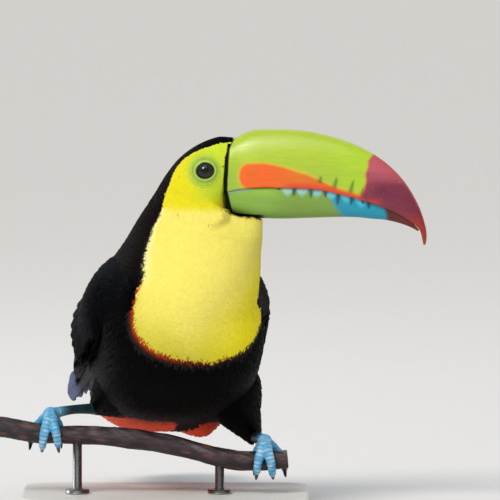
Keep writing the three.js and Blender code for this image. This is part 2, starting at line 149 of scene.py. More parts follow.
def placed(axis: Sequence[Array], yaw: Array, forward: Array, side: Array, height: Array) -> Array:
    """Place points by forward, side and height about an upright axis turned by yaw degrees."""
    s, c = np.sin(np.radians(yaw)), np.cos(np.radians(yaw))
    return vectors(axis[0] + forward * s + side * c, axis[1] - forward * c + side * s + PERCH_Y, height)


def head_forward(points: Array) -> Array:
    """How far points lie forward of the head's axis, in the bill's direction."""
    yaw = math.radians(HEAD_YAW)
    return (points - placed(HEAD_AXIS, HEAD_YAW, 0, 0, 0)) @ np.array([math.sin(yaw), -math.cos(yaw), 0])


def tail_direction(yaw: float) -> Array:
    """The way a tail feather points, for its yaw in degrees."""
    turn, slope = math.radians(yaw), math.radians(TAIL_SLOPE)
    return np.array([-math.sin(turn) * math.cos(slope), math.cos(turn) * math.cos(slope), -math.sin(slope)])


def margins(forward: Array, height: Array) -> tuple[Array, Array]:
    """How far places lie ahead of the line where the face ends at the bill, and above the throat's end."""
    return forward - np.interp(height, *BILL_BASE), height - np.interp(forward, *BILL_FLOOR)


def ripple(points: Array, size: float, seed: int, waves: int = 7) -> Array:
    """Give a smooth uneven value of about -2 to 2 at points: a few crossing sine waves, summed.

    Args:
        points: Places in millimetres.
        size: About how far apart the highs are, in millimetres.
        seed: Which pattern.
        waves: How many sine waves are summed.

    Returns:
        One value for each point.
    """
    draw = np.random.default_rng(seed)
    directions = unit(draw.normal(size=(waves, 3))) * (2 * np.pi / size) * draw.uniform(0.6, 1.7, (waves, 1))
    phases = draw.uniform(0, 2 * np.pi, waves)
    return np.sin(points @ directions.T + phases).sum(-1) / math.sqrt(waves * 2)


# ---------------------------------------------------------------- sizes shared with the solids
PERCH_Y = -18.0
TRUNK_YAW, HEAD_YAW = 14.0, 84.0
TRUNK_AXIS, HEAD_AXIS = (11.0, 5.0), (23.0, -6.0)
TAIL_YAW, TAIL_SLOPE = -5.0, 8.5
EYE_FORWARD, EYE_HEIGHT, EYE_SIDE, EYE_RADIUS = 5.4, 226.3, 15.6, 7.2

# yaw share, back forward/height, front forward/height, half width, lean of the widest place, fullness
BODY_STATIONS = (
    (0, -126, 77, -128, 66, 20, 0, 1),
    (0, -112, 88, -111, 55, 33, 0, 0.92),
    (0, -99, 100, -90, 49, 41, 0, 0.85),
    (0, -87, 112, -60, 48, 45, 0, 0.8),
    (0, -75, 126, -28, 55, 51, 0.05, 0.8),
    (0, -66, 140, 8, 65, 53.5, 0.08, 0.82),
    (0, -59, 153, 38, 83, 54.5, 0.06, 0.88),
    (0, -54, 164, 51, 106, 55, -0.04, 0.9),
    (0.12, -46, 174, 51.5, 128, 49.5, -0.06, 0.98),
    (0.4, -42, 184, 49.5, 150, 42, 0, 1),
    (0.75, -38.5, 194, 44, 169, 35, 0, 1),
    (1, -34.4, 204, 41.5, 184, 29, -0.03, 1),
    (1, -29.2, 212, 41, 194.6, 25.8, -0.12, 1),
    (1, -23.3, 221.9, 29.5, 196.2, 24.6, -0.08, 1),
    (1, -14, 233.8, 20.5, 197.5, 23.8, 0, 1),
    (1, -2.5, 242.6, 18.5, 200.5, 21.8, 0.05, 1),
    (1, 11, 248.2, 18, 203, 19, 0.1, 1),
    (1, 20, 248.4, 18.6, 206, 16.4, 0.1, 1),
)
LAST_STATION = len(BODY_STATIONS) - 1
# where the feathers of the face end against the bill: height, forward
BILL_BASE = (
    (198.5, 201.8, 207.7, 211, 220, 229.5, 236, 240.7, 244, 248),
    (22.1, 20.6, 19.4, 18.3, 18.2, 18.5, 19.0, 20.3, 22.2, 24.6),
)
# and where the throat ends under it: forward, height
BILL_FLOOR = ((21.3, 27, 33, 41), (198.2, 196.3, 195.4, 194.8))


class Side(Enum):
    """The bird's own right or left."""

    RIGHT = "right"
    LEFT = "left"

    @property
    def sign(self) -> int:
        """-1 on the bird's right, +1 on its left."""
        return -1 if self is Side.RIGHT else 1

    @property
    def eye(self) -> Array:
        """Middle of the eyeball on this side."""
        return placed(HEAD_AXIS, HEAD_YAW, EYE_FORWARD, self.sign * EYE_SIDE, EYE_HEIGHT)

    @property
    def heel(self) -> Array:
        """Where the thigh ends and the bare shank begins."""
        return np.array([-46.0, 31 + PERCH_Y, 66] if self is Side.RIGHT else [58.0, 38 + PERCH_Y, 47])


# ---------------------------------------------------------------- meshes
def grid_faces(rows: int, columns: int, wrap: bool) -> Array:
    """List the four-sided faces of a grid of points, wrapped round in its columns if asked."""
    across = np.arange(columns if wrap else columns - 1)
    i, j = np.meshgrid(np.arange(rows - 1) * columns, across, indexing="ij")
    k = (j + 1) % columns
    return vectors(i + j, i + k, i + columns + k, i + columns + j).reshape(-1, 4)


def end_fans(rows: int, columns: int) -> Array:
    """List triangles that close a wrapped grid with two centre points, which follow the grid's own.

    A triangle is given as a face whose fourth corner is -1.
    """
    j = np.arange(columns)
    k = (j + 1) % columns
    end, top = rows * columns, (rows - 1) * columns
    return np.concatenate([vectors(k, j, end, -1), vectors(top + j, top + k, end + 1, -1)])


@dataclass
class Patch:
    """One surface: points in millimetres, faces, and what the materials read at each point."""

    points: Array
    faces: Array
    colour: Array | None = None
    bake: Array | None = None
    detail: Array | None = None
    normals: Array | None = None
    finish: int | Array = 0  # material slot, for all faces or for each


def tube(
    rings: Array,
    colour: Array | None = None,
    finish: int | Array = 0,
    detail: Array | None = None,
    bake: Array | None = None,
) -> Patch:
    """Close a stack of rings into a solid, with a fan from the middle of each end ring.

    The faces point outwards: they are turned round where the volume they enclose, summed over
    triangles from the origin, comes out below zero.

    Args:
        rings: Points as rows, columns round the ring, and x, y, z.
        colour: Linear colours of the same shape, if the finish reads them.
        finish: Number of the material slot, or one for each face.
        detail: A second map's values for each point, of two numbers.
        bake: The bake map's values for each point, of two numbers.

    Returns:
        The closed patch.
    """
    rows, columns = rings.shape[:2]

    def closed(values: Array | None) -> Array | None:
        """Add the mean of each end ring after the grid's own values."""
        if values is None:
            return None
        ends = values[[0, -1]].mean(1)
        return np.concatenate([values.reshape(rows * columns, -1), ends])

    points, faces = closed(rings), np.concatenate([grid_faces(rows, columns, True), end_fans(rows, columns)])
    quads = faces[:, 3] >= 0
    a, b, c = np.moveaxis(points[np.concatenate([faces[:, :3], faces[quads][:, [0, 2, 3]]])], 1, 0)
    if (a * np.cross(b, c)).sum() < 0:
        turned = faces[:, ::-1].copy()
        turned[~quads] = faces[~quads][:, [2, 1, 0, 3]]
        faces = turned
    return Patch(points, faces, closed(colour), bake=closed(bake), detail=closed(detail), finish=finish)


def make_mesh(name: str, patches: Sequence[Patch], materials: Sequence[Material]) -> Object:
    """Join patches into one object whose place is in its mesh.

    Args:
        name: The object's name.
        patches: Its surfaces.
        materials: Its material slots, in the order that the patches count them.

    Returns:
        The object, linked to the scene.
    """
    starts = np.cumsum([0] + [len(p.points) for p in patches])
    points = np.concatenate([p.points for p in patches]) * MM
    faces = np.concatenate([np.where(p.faces >= 0, p.faces + s, -1) for p, s in zip(patches, starts)])
    sizes = (faces >= 0).sum(1)
    corners = faces[faces >= 0]
    mesh = bpy.data.meshes.new(name)
    mesh.vertices.add(len(points))
    mesh.vertices.foreach_set("co", points.astype(np.float32).ravel())
    mesh.loops.add(len(corners))
    mesh.loops.foreach_set("vertex_index", corners.astype(np.int32))
    mesh.polygons.add(len(faces))
    mesh.polygons.foreach_set("loop_start", np.concatenate([[0], np.cumsum(sizes)[:-1]]).astype(np.int32))
    slots = np.concatenate([np.broadcast_to(p.finish, len(p.faces)) for p in patches])
    mesh.polygons.foreach_set("material_index", slots.astype(np.int32))
    mesh.polygons.foreach_set("use_smooth", np.ones(len(faces), bool))
    mesh.update(calc_edges=True)
    for key, read in (("OFBake", lambda p: p.bake), ("detail", lambda p: p.detail)):
        if any(read(p) is not None for p in patches):
            values = [np.zeros((len(p.points), 2)) if read(p) is None else read(p) for p in patches]
            layer = mesh.uv_layers.new(name=key)
            layer.uv.foreach_set("vector", np.concatenate(values)[corners].astype(np.float32).ravel())
    if any(p.colour is not None for p in patches):
        values = [np.ones((len(p.points), 3)) if p.colour is None else p.colour for p in patches]
        attribute = mesh.attributes.new("tint", "FLOAT_COLOR", "POINT")
        opaque = np.column_stack([np.concatenate(values), np.ones(len(points))])
        attribute.data.foreach_set("color", opaque.astype(np.float32).ravel())
    for material in materials:
        mesh.materials.append(material)
    if all(p.normals is not None for p in patches):
        normals = np.concatenate([p.normals for p in patches])
        mesh.normals_split_custom_set_from_vertices(normals.astype(np.float32))
    made = bpy.data.objects.new(name, mesh)
    bpy.context.scene.collection.objects.link(made)
    return made


def piece(name: str, patches: Sequence[Patch], materials: Sequence[Material], slot: str, *nodes: str) -> Object:
    """Make one piece of the model.

    Args:
        name: The piece's name.
        patches: Its surfaces.
        materials: Its material slots.
        slot: The slot of the record that it wears; not used.
        *nodes: The solids' nodes that it stands for.

    Returns:
        The object, riding on the bird.
    """
    made = make_mesh(name, patches, materials)
    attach(made, BODY)
    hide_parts(*nodes)
    return made


def fused(name: str, patches: Sequence[Patch], voxel: float, smoothing: int) -> tuple[Array, Array]:
    """Melt closed patches into one closed skin on a grid of cubes, then relax it.

    Args:
        name: A name for the working object.
        patches: Closed surfaces that pass through each other.
        voxel: Side of the cubes in millimetres.
        smoothing: How many rounds of smoothing take the steps out.

    Returns:
        The skin's points in millimetres, and its faces.
    """
    work = make_mesh(name, patches, [])
    remesh = work.modifiers.new("melt", "REMESH")
    remesh.mode, remesh.voxel_size, remesh.use_smooth_shade = "VOXEL", voxel * MM, True
    relax = work.modifiers.new("relax", "SMOOTH")
    relax.factor, relax.iterations = 0.5, smoothing
    mesh = work.evaluated_get(bpy.context.evaluated_depsgraph_get()).to_mesh()
    points = np.empty(len(mesh.vertices) * 3, np.float32)
    mesh.vertices.foreach_get("co", points)
    corners = np.empty(len(mesh.loops), np.int32)
    mesh.loops.foreach_get("vertex_index", corners)
    faces = corners.reshape(-1, 4).astype(int)
    work.to_mesh_clear()
    data = work.data
    bpy.data.objects.remove(work)
    bpy.data.meshes.remove(data)
    return points.reshape(-1, 3).astype(float) / MM, faces


def point_normals(points: Array, faces: Array) -> Array:
    """Mean direction of the faces round each point."""
    a, b, c = (points[faces[:, k]] for k in (0, 1, 2))
    facing = np.cross(b - a, c - a)
    total = np.zeros_like(points)
    for k in range(3):
        np.add.at(total, faces[:, k], facing)
    quads = faces[:, 3] >= 0
    np.add.at(total, faces[quads, 3], facing[quads])
    return unit(total)


def nearest(points: Array, samples: Array) -> Array:
    """Number of the nearest sample for each point, worked out in blocks."""
    found = np.empty(len(points), int)
    weight = (samples**2).sum(1)
    for start in range(0, len(points), 4000):
        block = points[start : start + 4000]
        found[start : start + 4000] = (weight - 2 * block @ samples.T).argmin(1)
    return found


# ---------------------------------------------------------------- materials
def add(
    tree: Tree,
    kind: str,
    inputs: dict[str | int, object] | None = None,
    stops: Sequence[tuple[float, Array]] = (),
    **settings: object,
) -> bpy.types.Node:
    """Add a node with its settings and links.

    Args:
        tree: The material's nodes.
        kind: Type of the node.
        inputs: For each input socket, its value or the output socket that feeds it.
        stops: Places and linear colours, for a node with a colour ramp.
        **settings: Values of the node's own properties.

    Returns:
        The node.
    """
    made = tree.nodes.new(kind)
    for key, value in settings.items():
        setattr(made, key, value)
    if stops:
        elements = made.color_ramp.elements
        while len(elements) < len(stops):
            elements.new(0.5)
        for element, (place, colour) in zip(elements, stops):
            element.position, element.color = place, (*np.broadcast_to(colour, 3), 1)
    for key, value in (inputs or {}).items():
        if isinstance(value, Socket):
            tree.links.new(value, made.inputs[key])
        else:
            made.inputs[key].default_value = value
    return made


@dataclass(frozen=True)
class Finish:
    """What a surface is made of: one pattern of a real size tones it, breaks its gloss and gives relief."""

    name: str
    pitch: float = 2.0  # mm from one high of the pattern to the next
    stretch: Triple = (1, 1, 1)  # scale of the pattern along x, y and z
    detail: float = 4.0
    cells: bool = False  # scales with dark joints instead of clouds
    tone: Pair = (0.9, 1.1)  # strength of the colour at the pattern's low and high
    rough: Pair = (0.5, 0.5)  # roughness at the pattern's low and high
    relief: Pair = (0.2, 0.1)  # strength, and depth in mm
    colour: str = ""  # one colour all over; without it the mesh brings its tint
    shader: tuple[tuple[str, object], ...] = ()  # values of the shader's own sockets

    def height(self, tree: Tree, level: Socket) -> Socket:
        """Give the socket that the relief follows: here the pattern itself."""
        return level

    def material(self) -> Material:
        """Build the material: the pattern scales the tint, sets the roughness and lifts the relief."""
        material = bpy.data.materials.new(self.name)
        material.use_nodes = True
        tree = material.node_tree
        tree.nodes.clear()
        place = add(tree, "ShaderNodeTexCoord")
        where = add(tree, "ShaderNodeMapping", {"Vector": place.outputs["Object"], "Scale": self.stretch})
        inputs = {"Vector": where.outputs[0], "Scale": 1 / (self.pitch * MM)}
        if self.cells:
            pattern = add(tree, "ShaderNodeTexVoronoi", inputs, feature="DISTANCE_TO_EDGE").outputs["Distance"]
        else:
            pattern = add(tree, "ShaderNodeTexNoise", {**inputs, "Detail": self.detail}).outputs["Fac"]
        start, end = (0.0, 0.16) if self.cells else (0.3, 0.7)
        spread = {"Value": pattern, "From Min": start, "From Max": end}
        level, rough = (
            add(tree, "ShaderNodeMapRange", {**spread, "To Min": low, "To Max": high}).outputs[0]
            for low, high in (self.tone, self.rough)
        )
        if self.colour:
            tint = tuple(linear(self.colour))
        else:
            tint = add(tree, "ShaderNodeAttribute", attribute_name="tint").outputs["Color"]
        colour = add(tree, "ShaderNodeVectorMath", {0: tint, "Scale": level}, operation="SCALE")
        strength, depth = self.relief
        inputs = {"Height": self.height(tree, level), "Strength": strength, "Distance": depth * MM}
        bump = add(tree, "ShaderNodeBump", inputs)
        inputs = {"Base Color": colour.outputs[0], "Roughness": rough, "Normal": bump.outputs[0]}
        shader = add(tree, "ShaderNodeBsdfPrincipled", {**inputs, **dict(self.shader)})
        add(tree, "ShaderNodeOutputMaterial", {"Surface": shader.outputs[0]})
        return material


@dataclass(frozen=True)
class Plumage(Finish):
    """Feather keratin, combed by the bird: fine barbs break the gloss into a soft sheen."""

    pitch: float = 2.2
    detail: float = 3.0
    relief: Pair = (0.25, 0.06)
    barbs: float = 0.45  # mm; real barbs are about 0.3 mm apart, drawn coarser so that they show

    def height(self, tree: Tree, level: Socket) -> Socket:
        """Ridges that slant from the shaft to both edges of each vane."""
        vane = add(tree, "ShaderNodeUVMap", uv_map="detail")
        split = add(tree, "ShaderNodeSeparateXYZ", {0: vane.outputs[0]})
        slant = add(tree, "ShaderNodeMath", {0: split.outputs["X"]}, operation="ABSOLUTE")
        inputs = {0: slant.outputs[0], 1: 1.3, 2: split.outputs["Y"]}
        run = add(tree, "ShaderNodeMath", inputs, operation="MULTIPLY_ADD")
        inputs = {0: run.outputs[0], 1: 2 * math.pi / self.barbs}
        turn = add(tree, "ShaderNodeMath", inputs, operation="MULTIPLY")
        return add(tree, "ShaderNodeMath", {0: turn.outputs[0]}, operation="SINE").outputs[0]


def plumage(
    name: str, rough: float, specular: float, mottle: float, sheen: str = "", barbs: float = 0.45
) -> Plumage:
    """Mix a plumage: its gloss, how much the tone wanders, and the tint of a faint sheen if it has one."""
    shader = [("Specular IOR Level", specular)]
    if sheen:
        shader += [("Sheen Weight", 0.08), ("Sheen Roughness", 0.4), ("Sheen Tint", (*linear(sheen), 1))]
    return Plumage(name, tone=(1 - mottle, 1 + mottle), rough=(rough, rough), shader=tuple(shader), barbs=barbs)


@dataclass(frozen=True)
class TintedHorn(Finish):
    """Keratin sheath over bone: satin, slightly see-through, with faint growth lines along it."""

    pitch: float = 1.4  # mm between growth lines
    stretch: Triple = (0.12, 1, 1)
    tone: Pair = (0.95, 1.04)
    rough: Pair = (0.3, 0.44)
    relief: Pair = (0.18, 0.12)
    shader: tuple[tuple[str, object], ...] = (
        ("IOR", 1.5), ("Subsurface Weight", 0.08), ("Subsurface Radius", (1.0, 0.7, 0.3)),
        ("Subsurface Scale", 1.2 * MM), ("Coat Weight", 0.12), ("Coat Roughness", 0.25),
    )  # fmt: skip


@dataclass(frozen=True)
class ScaledSkin(Finish):
    """Bare living skin: small scales or wrinkles, darker between them, with a dull wet gloss."""

    cells: bool = True
    tone: Pair = (0.72, 1.0)
    shader: tuple[tuple[str, object], ...] = (
        ("IOR", 1.42), ("Subsurface Weight", 0.12), ("Subsurface Radius", (1.0, 0.6, 0.4)),
        ("Subsurface Scale", 0.8 * MM),
    )  # fmt: skip


@dataclass(frozen=True)
class WetEye(Finish):
    """Eye: a dark brown iris behind a clear wet cornea, so a light shows in it as a small sharp patch."""

    name: str = "wet_eye"
    pitch: float = 0.8
    detail: float = 2.0
    tone: Pair = (0.7, 1.3)
    rough: Pair = (0.12, 0.12)
    relief: Pair = (0.0, 0.01)
    shader: tuple[tuple[str, object], ...] = (
        ("Specular IOR Level", 0.12), ("Coat Weight", 0.6), ("Coat Roughness", 0.03),
    )  # fmt: skip


@dataclass(frozen=True)
class Bark(Finish):
    """Thin living bark: dark, faintly waxy, with fine lengthwise cracks."""

    name: str = "thin_bark"
    pitch: float = 1.6  # mm across one crack and its ridge
    stretch: Triple = (0.25, 1, 1)
    detail: float = 6.0
    tone: Pair = (0.55, 1.45)
    rough: Pair = (0.42, 0.72)
    relief: Pair = (0.55, 0.35)


@dataclass(frozen=True)
class RawWood(Finish):
    """Sawn end grain: dull, dry and finely pored."""

    name: str = "sawn_wood"
    pitch: float = 0.5
    tone: Pair = (0.7, 1.15)
    rough: Pair = (0.78, 0.85)
    relief: Pair = (0.5, 0.15)


@dataclass(frozen=True)
class PaintedWood(Finish):
    """Primed and sprayed hardwood: an even satin white with a trace of grain in relief and gloss."""

    name: str = "satin_painted_wood"
    colour: str = "E9E6DF"
    pitch: float = 2.5
    stretch: Triple = (0.08, 1, 1)
    tone: Pair = (0.94, 1.0)
    rough: Pair = (0.34, 0.46)
    relief: Pair = (0.2, 0.08)


@dataclass(frozen=True)
class BrushedSteel(Finish):
    """Turned stainless steel, brushed round: soft streaked reflections."""

    name: str = "brushed_steel"
    colour: str = "B9B8B4"
    pitch: float = 0.35  # mm between brush marks
    stretch: Triple = (0.1, 0.1, 1)
    tone: Pair = (0.86, 1.0)
    rough: Pair = (0.24, 0.42)
    relief: Pair = (0.1, 0.01)
    shader: tuple[tuple[str, object], ...] = (("Metallic", 1.0),)


@dataclass(frozen=True)
class StudioPaper(Finish):
    """Seamless background paper: matt and pale, with a trace of pulp in its tone."""

    name: str = "studio_paper"
    colour: str = "ECEBE8"
    pitch: float = 25.0
    tone: Pair = (0.985, 1.0)
    rough: Pair = (0.9, 0.9)
    relief: Pair = (0.05, 0.05)
    shader: tuple[tuple[str, object], ...] = (("Specular IOR Level", 0.2),)


# ---------------------------------------------------------------- surfaces that feathers grow from
class Surface:
    """A smooth outer form, read by u from 0 to 1 along the lie of the feathers and v round it in radians."""

    turn: int = 1  # which way round v runs, so that normals point outwards

    def inside(self, u: Array, v: Array) -> Array:
        """Points for u within 0 and 1."""
        raise NotImplementedError

    def at(self, u: Array, v: Array) -> Array:
        """Points for any u: past the ends the form runs on straight."""
        held = np.clip(u, 0.0, 1.0)
        step = 0.004
        ahead = np.clip(held + step, 0.0, 1.0)
        behind = np.clip(held - step, 0.0, 1.0)
        slope = (self.inside(ahead, v) - self.inside(behind, v)) / (ahead - behind)[..., None]
        return self.inside(held, v) + slope * (u - held)[..., None]

    def axes(self, u: Array, v: Array) -> tuple[Array, Array, Array]:
        """Slope along u, slope along v and the outward normal, from small differences.

        Args:
            u: Places along the form.
            v: Angles round it.

        Returns:
            The three directions; the slopes are in millimetres for each unit of u and radian of v.
        """
        step = 0.003
        along = (self.at(u + step, v) - self.at(u - step, v)) / (2 * step)
        around = (self.at(u, v + step) - self.at(u, v - step)) / (2 * step)
        return along, around, unit(np.cross(along, around)) * self.turn

    def rings(self, rows: int, columns: int, depth: float | Array = 0.0) -> Array:
        """A grid of points over the whole form, sunk by depth millimetres."""
        u, v = lattice(rows, columns)
        return self.at(u, v) - self.axes(u, v)[2] * np.asarray(depth)[..., None]


class TrunkForm(Surface):
    """Head, neck and trunk: u runs from the bill to the vent, v is 0 at the throat and belly."""

    tail_height = 68.5  # of the tail's upper face where the trunk ends

    def inside(self, u: Array, v: Array) -> Array:
        """Each ring spans from a back point to a front point; its width follows a squarish oval.

        In front of the bill's base the sides are drawn in, so that the throat tucks in under the bill.
        """
        u, v = np.broadcast_arrays(u, v)
        row = catmull(BODY_STATIONS, 1 - u)
        share = np.clip(row[..., 0], 0, 1)
        axis = [TRUNK_AXIS[k] + (HEAD_AXIS[k] - TRUNK_AXIS[k]) * share for k in (0, 1)]
        reach = signed_power(np.cos(v), row[..., 7]) + row[..., 6] * np.sin(v) ** 2
        part = 0.5 + 0.5 * reach
        forward = row[..., 1] + (row[..., 3] - row[..., 1]) * part
        height = row[..., 2] + (row[..., 4] - row[..., 2]) * part
        side = row[..., 5] * signed_power(np.sin(v), 0.92 * row[..., 7])
        off = np.hypot((1 - u) * LAST_STATION - 3.4, (side - 29) / 12)
        height = height - 9 * bell(0, 1, off) * np.maximum(reach, 0) ** 0.5
        height = height + 1.5 * smooth(22, 38, forward) * smooth(178, 194.5, height) * smooth(0.9, 1, share)
        ahead, above = margins(forward, height)
        behind, below = np.minimum(ahead - 0.6, 0), np.minimum(above - 0.2, 0)
        tuck = smooth(1, 0, np.hypot(behind / (3.2 + 16 * smooth(1, -13, below)), below / 17))
        tuck = tuck * smooth(214, 211, height) * smooth(0.9, 1, share)
        side = side * (1 - 0.33 * tuck)
        return placed(axis, TRUNK_YAW + (HEAD_YAW - TRUNK_YAW) * share, forward, side, height)

    def at(self, u: Array, v: Array) -> Array:
        """As every surface, but past its end the form closes down onto the tail and runs along it."""
        points = super().at(u, v)
        end, near = self.inside(np.ones(u.shape), v), self.inside(np.full(u.shape, 0.99), v)
        past = np.maximum(u - 1, 0) * np.linalg.norm(end - near, axis=-1) / 0.01
        along = tail_direction(TAIL_YAW)
        fall = np.maximum(end[..., 2] - self.tail_height, 0) * smooth(0, 34, past) * 0.9
        run = end + along * past[..., None] - np.array([0, 0, 1]) * fall[..., None]
        return np.where((u > 1)[..., None], run, points)


@dataclass
class ThighForm(Surface):
    """Feathered thigh: parallel rings from hip to heel, their middle carried aside."""

    side: Side
    radii: tuple[float, ...] = (17, 22.5, 21, 13.5, 6.5)
    turn = -1

    def __post_init__(self) -> None:
        """Set the ends of this side's thigh."""
        right = self.side is Side.RIGHT
        self.hip = np.array([-10.0, 26 + PERCH_Y, 98] if right else [33.0, 20 + PERCH_Y, 104])
        self.bulge = np.array([-4.0, -3, -5] if right else [-1.0, -4, -2])
        self.along = unit(self.side.heel - self.hip)
        self.across = unit(np.array([0, 1, 0]) - self.along * self.along[1])
        self.other = np.cross(self.along, self.across)

    def inside(self, u: Array, v: Array) -> Array:
        """A circle of changing radius round a bowed line."""
        u, v = np.broadcast_arrays(u, v)
        radius = catmull(np.array(self.radii)[:, None], u)[..., 0]
        middle = self.hip + (self.side.heel - self.hip) * u[..., None]
        middle = middle + self.bulge * np.sin(np.pi * u)[..., None]
        out = self.across * np.cos(v)[..., None] + self.other * np.sin(v)[..., None]
        return middle + out * radius[..., None]


@dataclass
class WingForm(Surface):
    """Folded wing's covered arm: v is 0 on the upper edge, a quarter turn on the outer face."""

    side: Side
    # forward, side, height, reach up, reach down, thickness
    stations: Rows = (
        (32, 40, 142, 6, 7, 5),
        (18, 44.5, 143, 18, 17, 9),
        (-12, 55.5, 143, 32, 27, 11),
        (-50, 55, 122, 29, 27, 10),
        (-88, 43.5, 104, 20, 19, 6),
        (-118, 35.5, 90, 12, 12, 3.5),
    )
    tip: Triple = (-168, 45.5, 66)

    def __post_init__(self) -> None:
        """Find which way round the sections run on this side."""
        self.turn = -self.side.sign

    def section(self, u: Array) -> tuple[Array, Array, Array, Array]:
        """Middle, direction up the wing, direction out of its face, and the sizes at u."""
        rows = np.asarray(self.stations, float)
        row, after, before = (catmull(rows, np.clip(u + d, 0, 1)) for d in (0, 0.02, -0.02))
        sign = self.side.sign
        middle, ahead, behind = (
            placed(TRUNK_AXIS, TRUNK_YAW, r[..., 0], sign * r[..., 1], r[..., 2]) for r in (row, after, before)
        )
        along = unit(ahead - behind)
        out = unit(placed((0, -PERCH_Y), TRUNK_YAW, 0.15, sign, 0.1 + 0.65 * u))
        up = unit(np.cross(out, along))
        up = up * np.sign(up[..., 2:3])
        face = unit(np.cross(along, up))
        face = face * np.sign((face * out).sum(-1, keepdims=True))
        return middle, up, face, row

    def inside(self, u: Array, v: Array) -> Array:
        """A flat oval section, bent inwards at both edges like a cupped hand."""
        u, v = np.broadcast_arrays(u, v)
        middle, up, face, row = self.section(u)
        high = np.cos(v) * np.where(np.cos(v) > 0, row[..., 3], row[..., 4])
        deep = signed_power(np.sin(v), 0.8) * row[..., 5] / 2 - high * high / 110
        return middle + up * high[..., None] + face * deep[..., None]


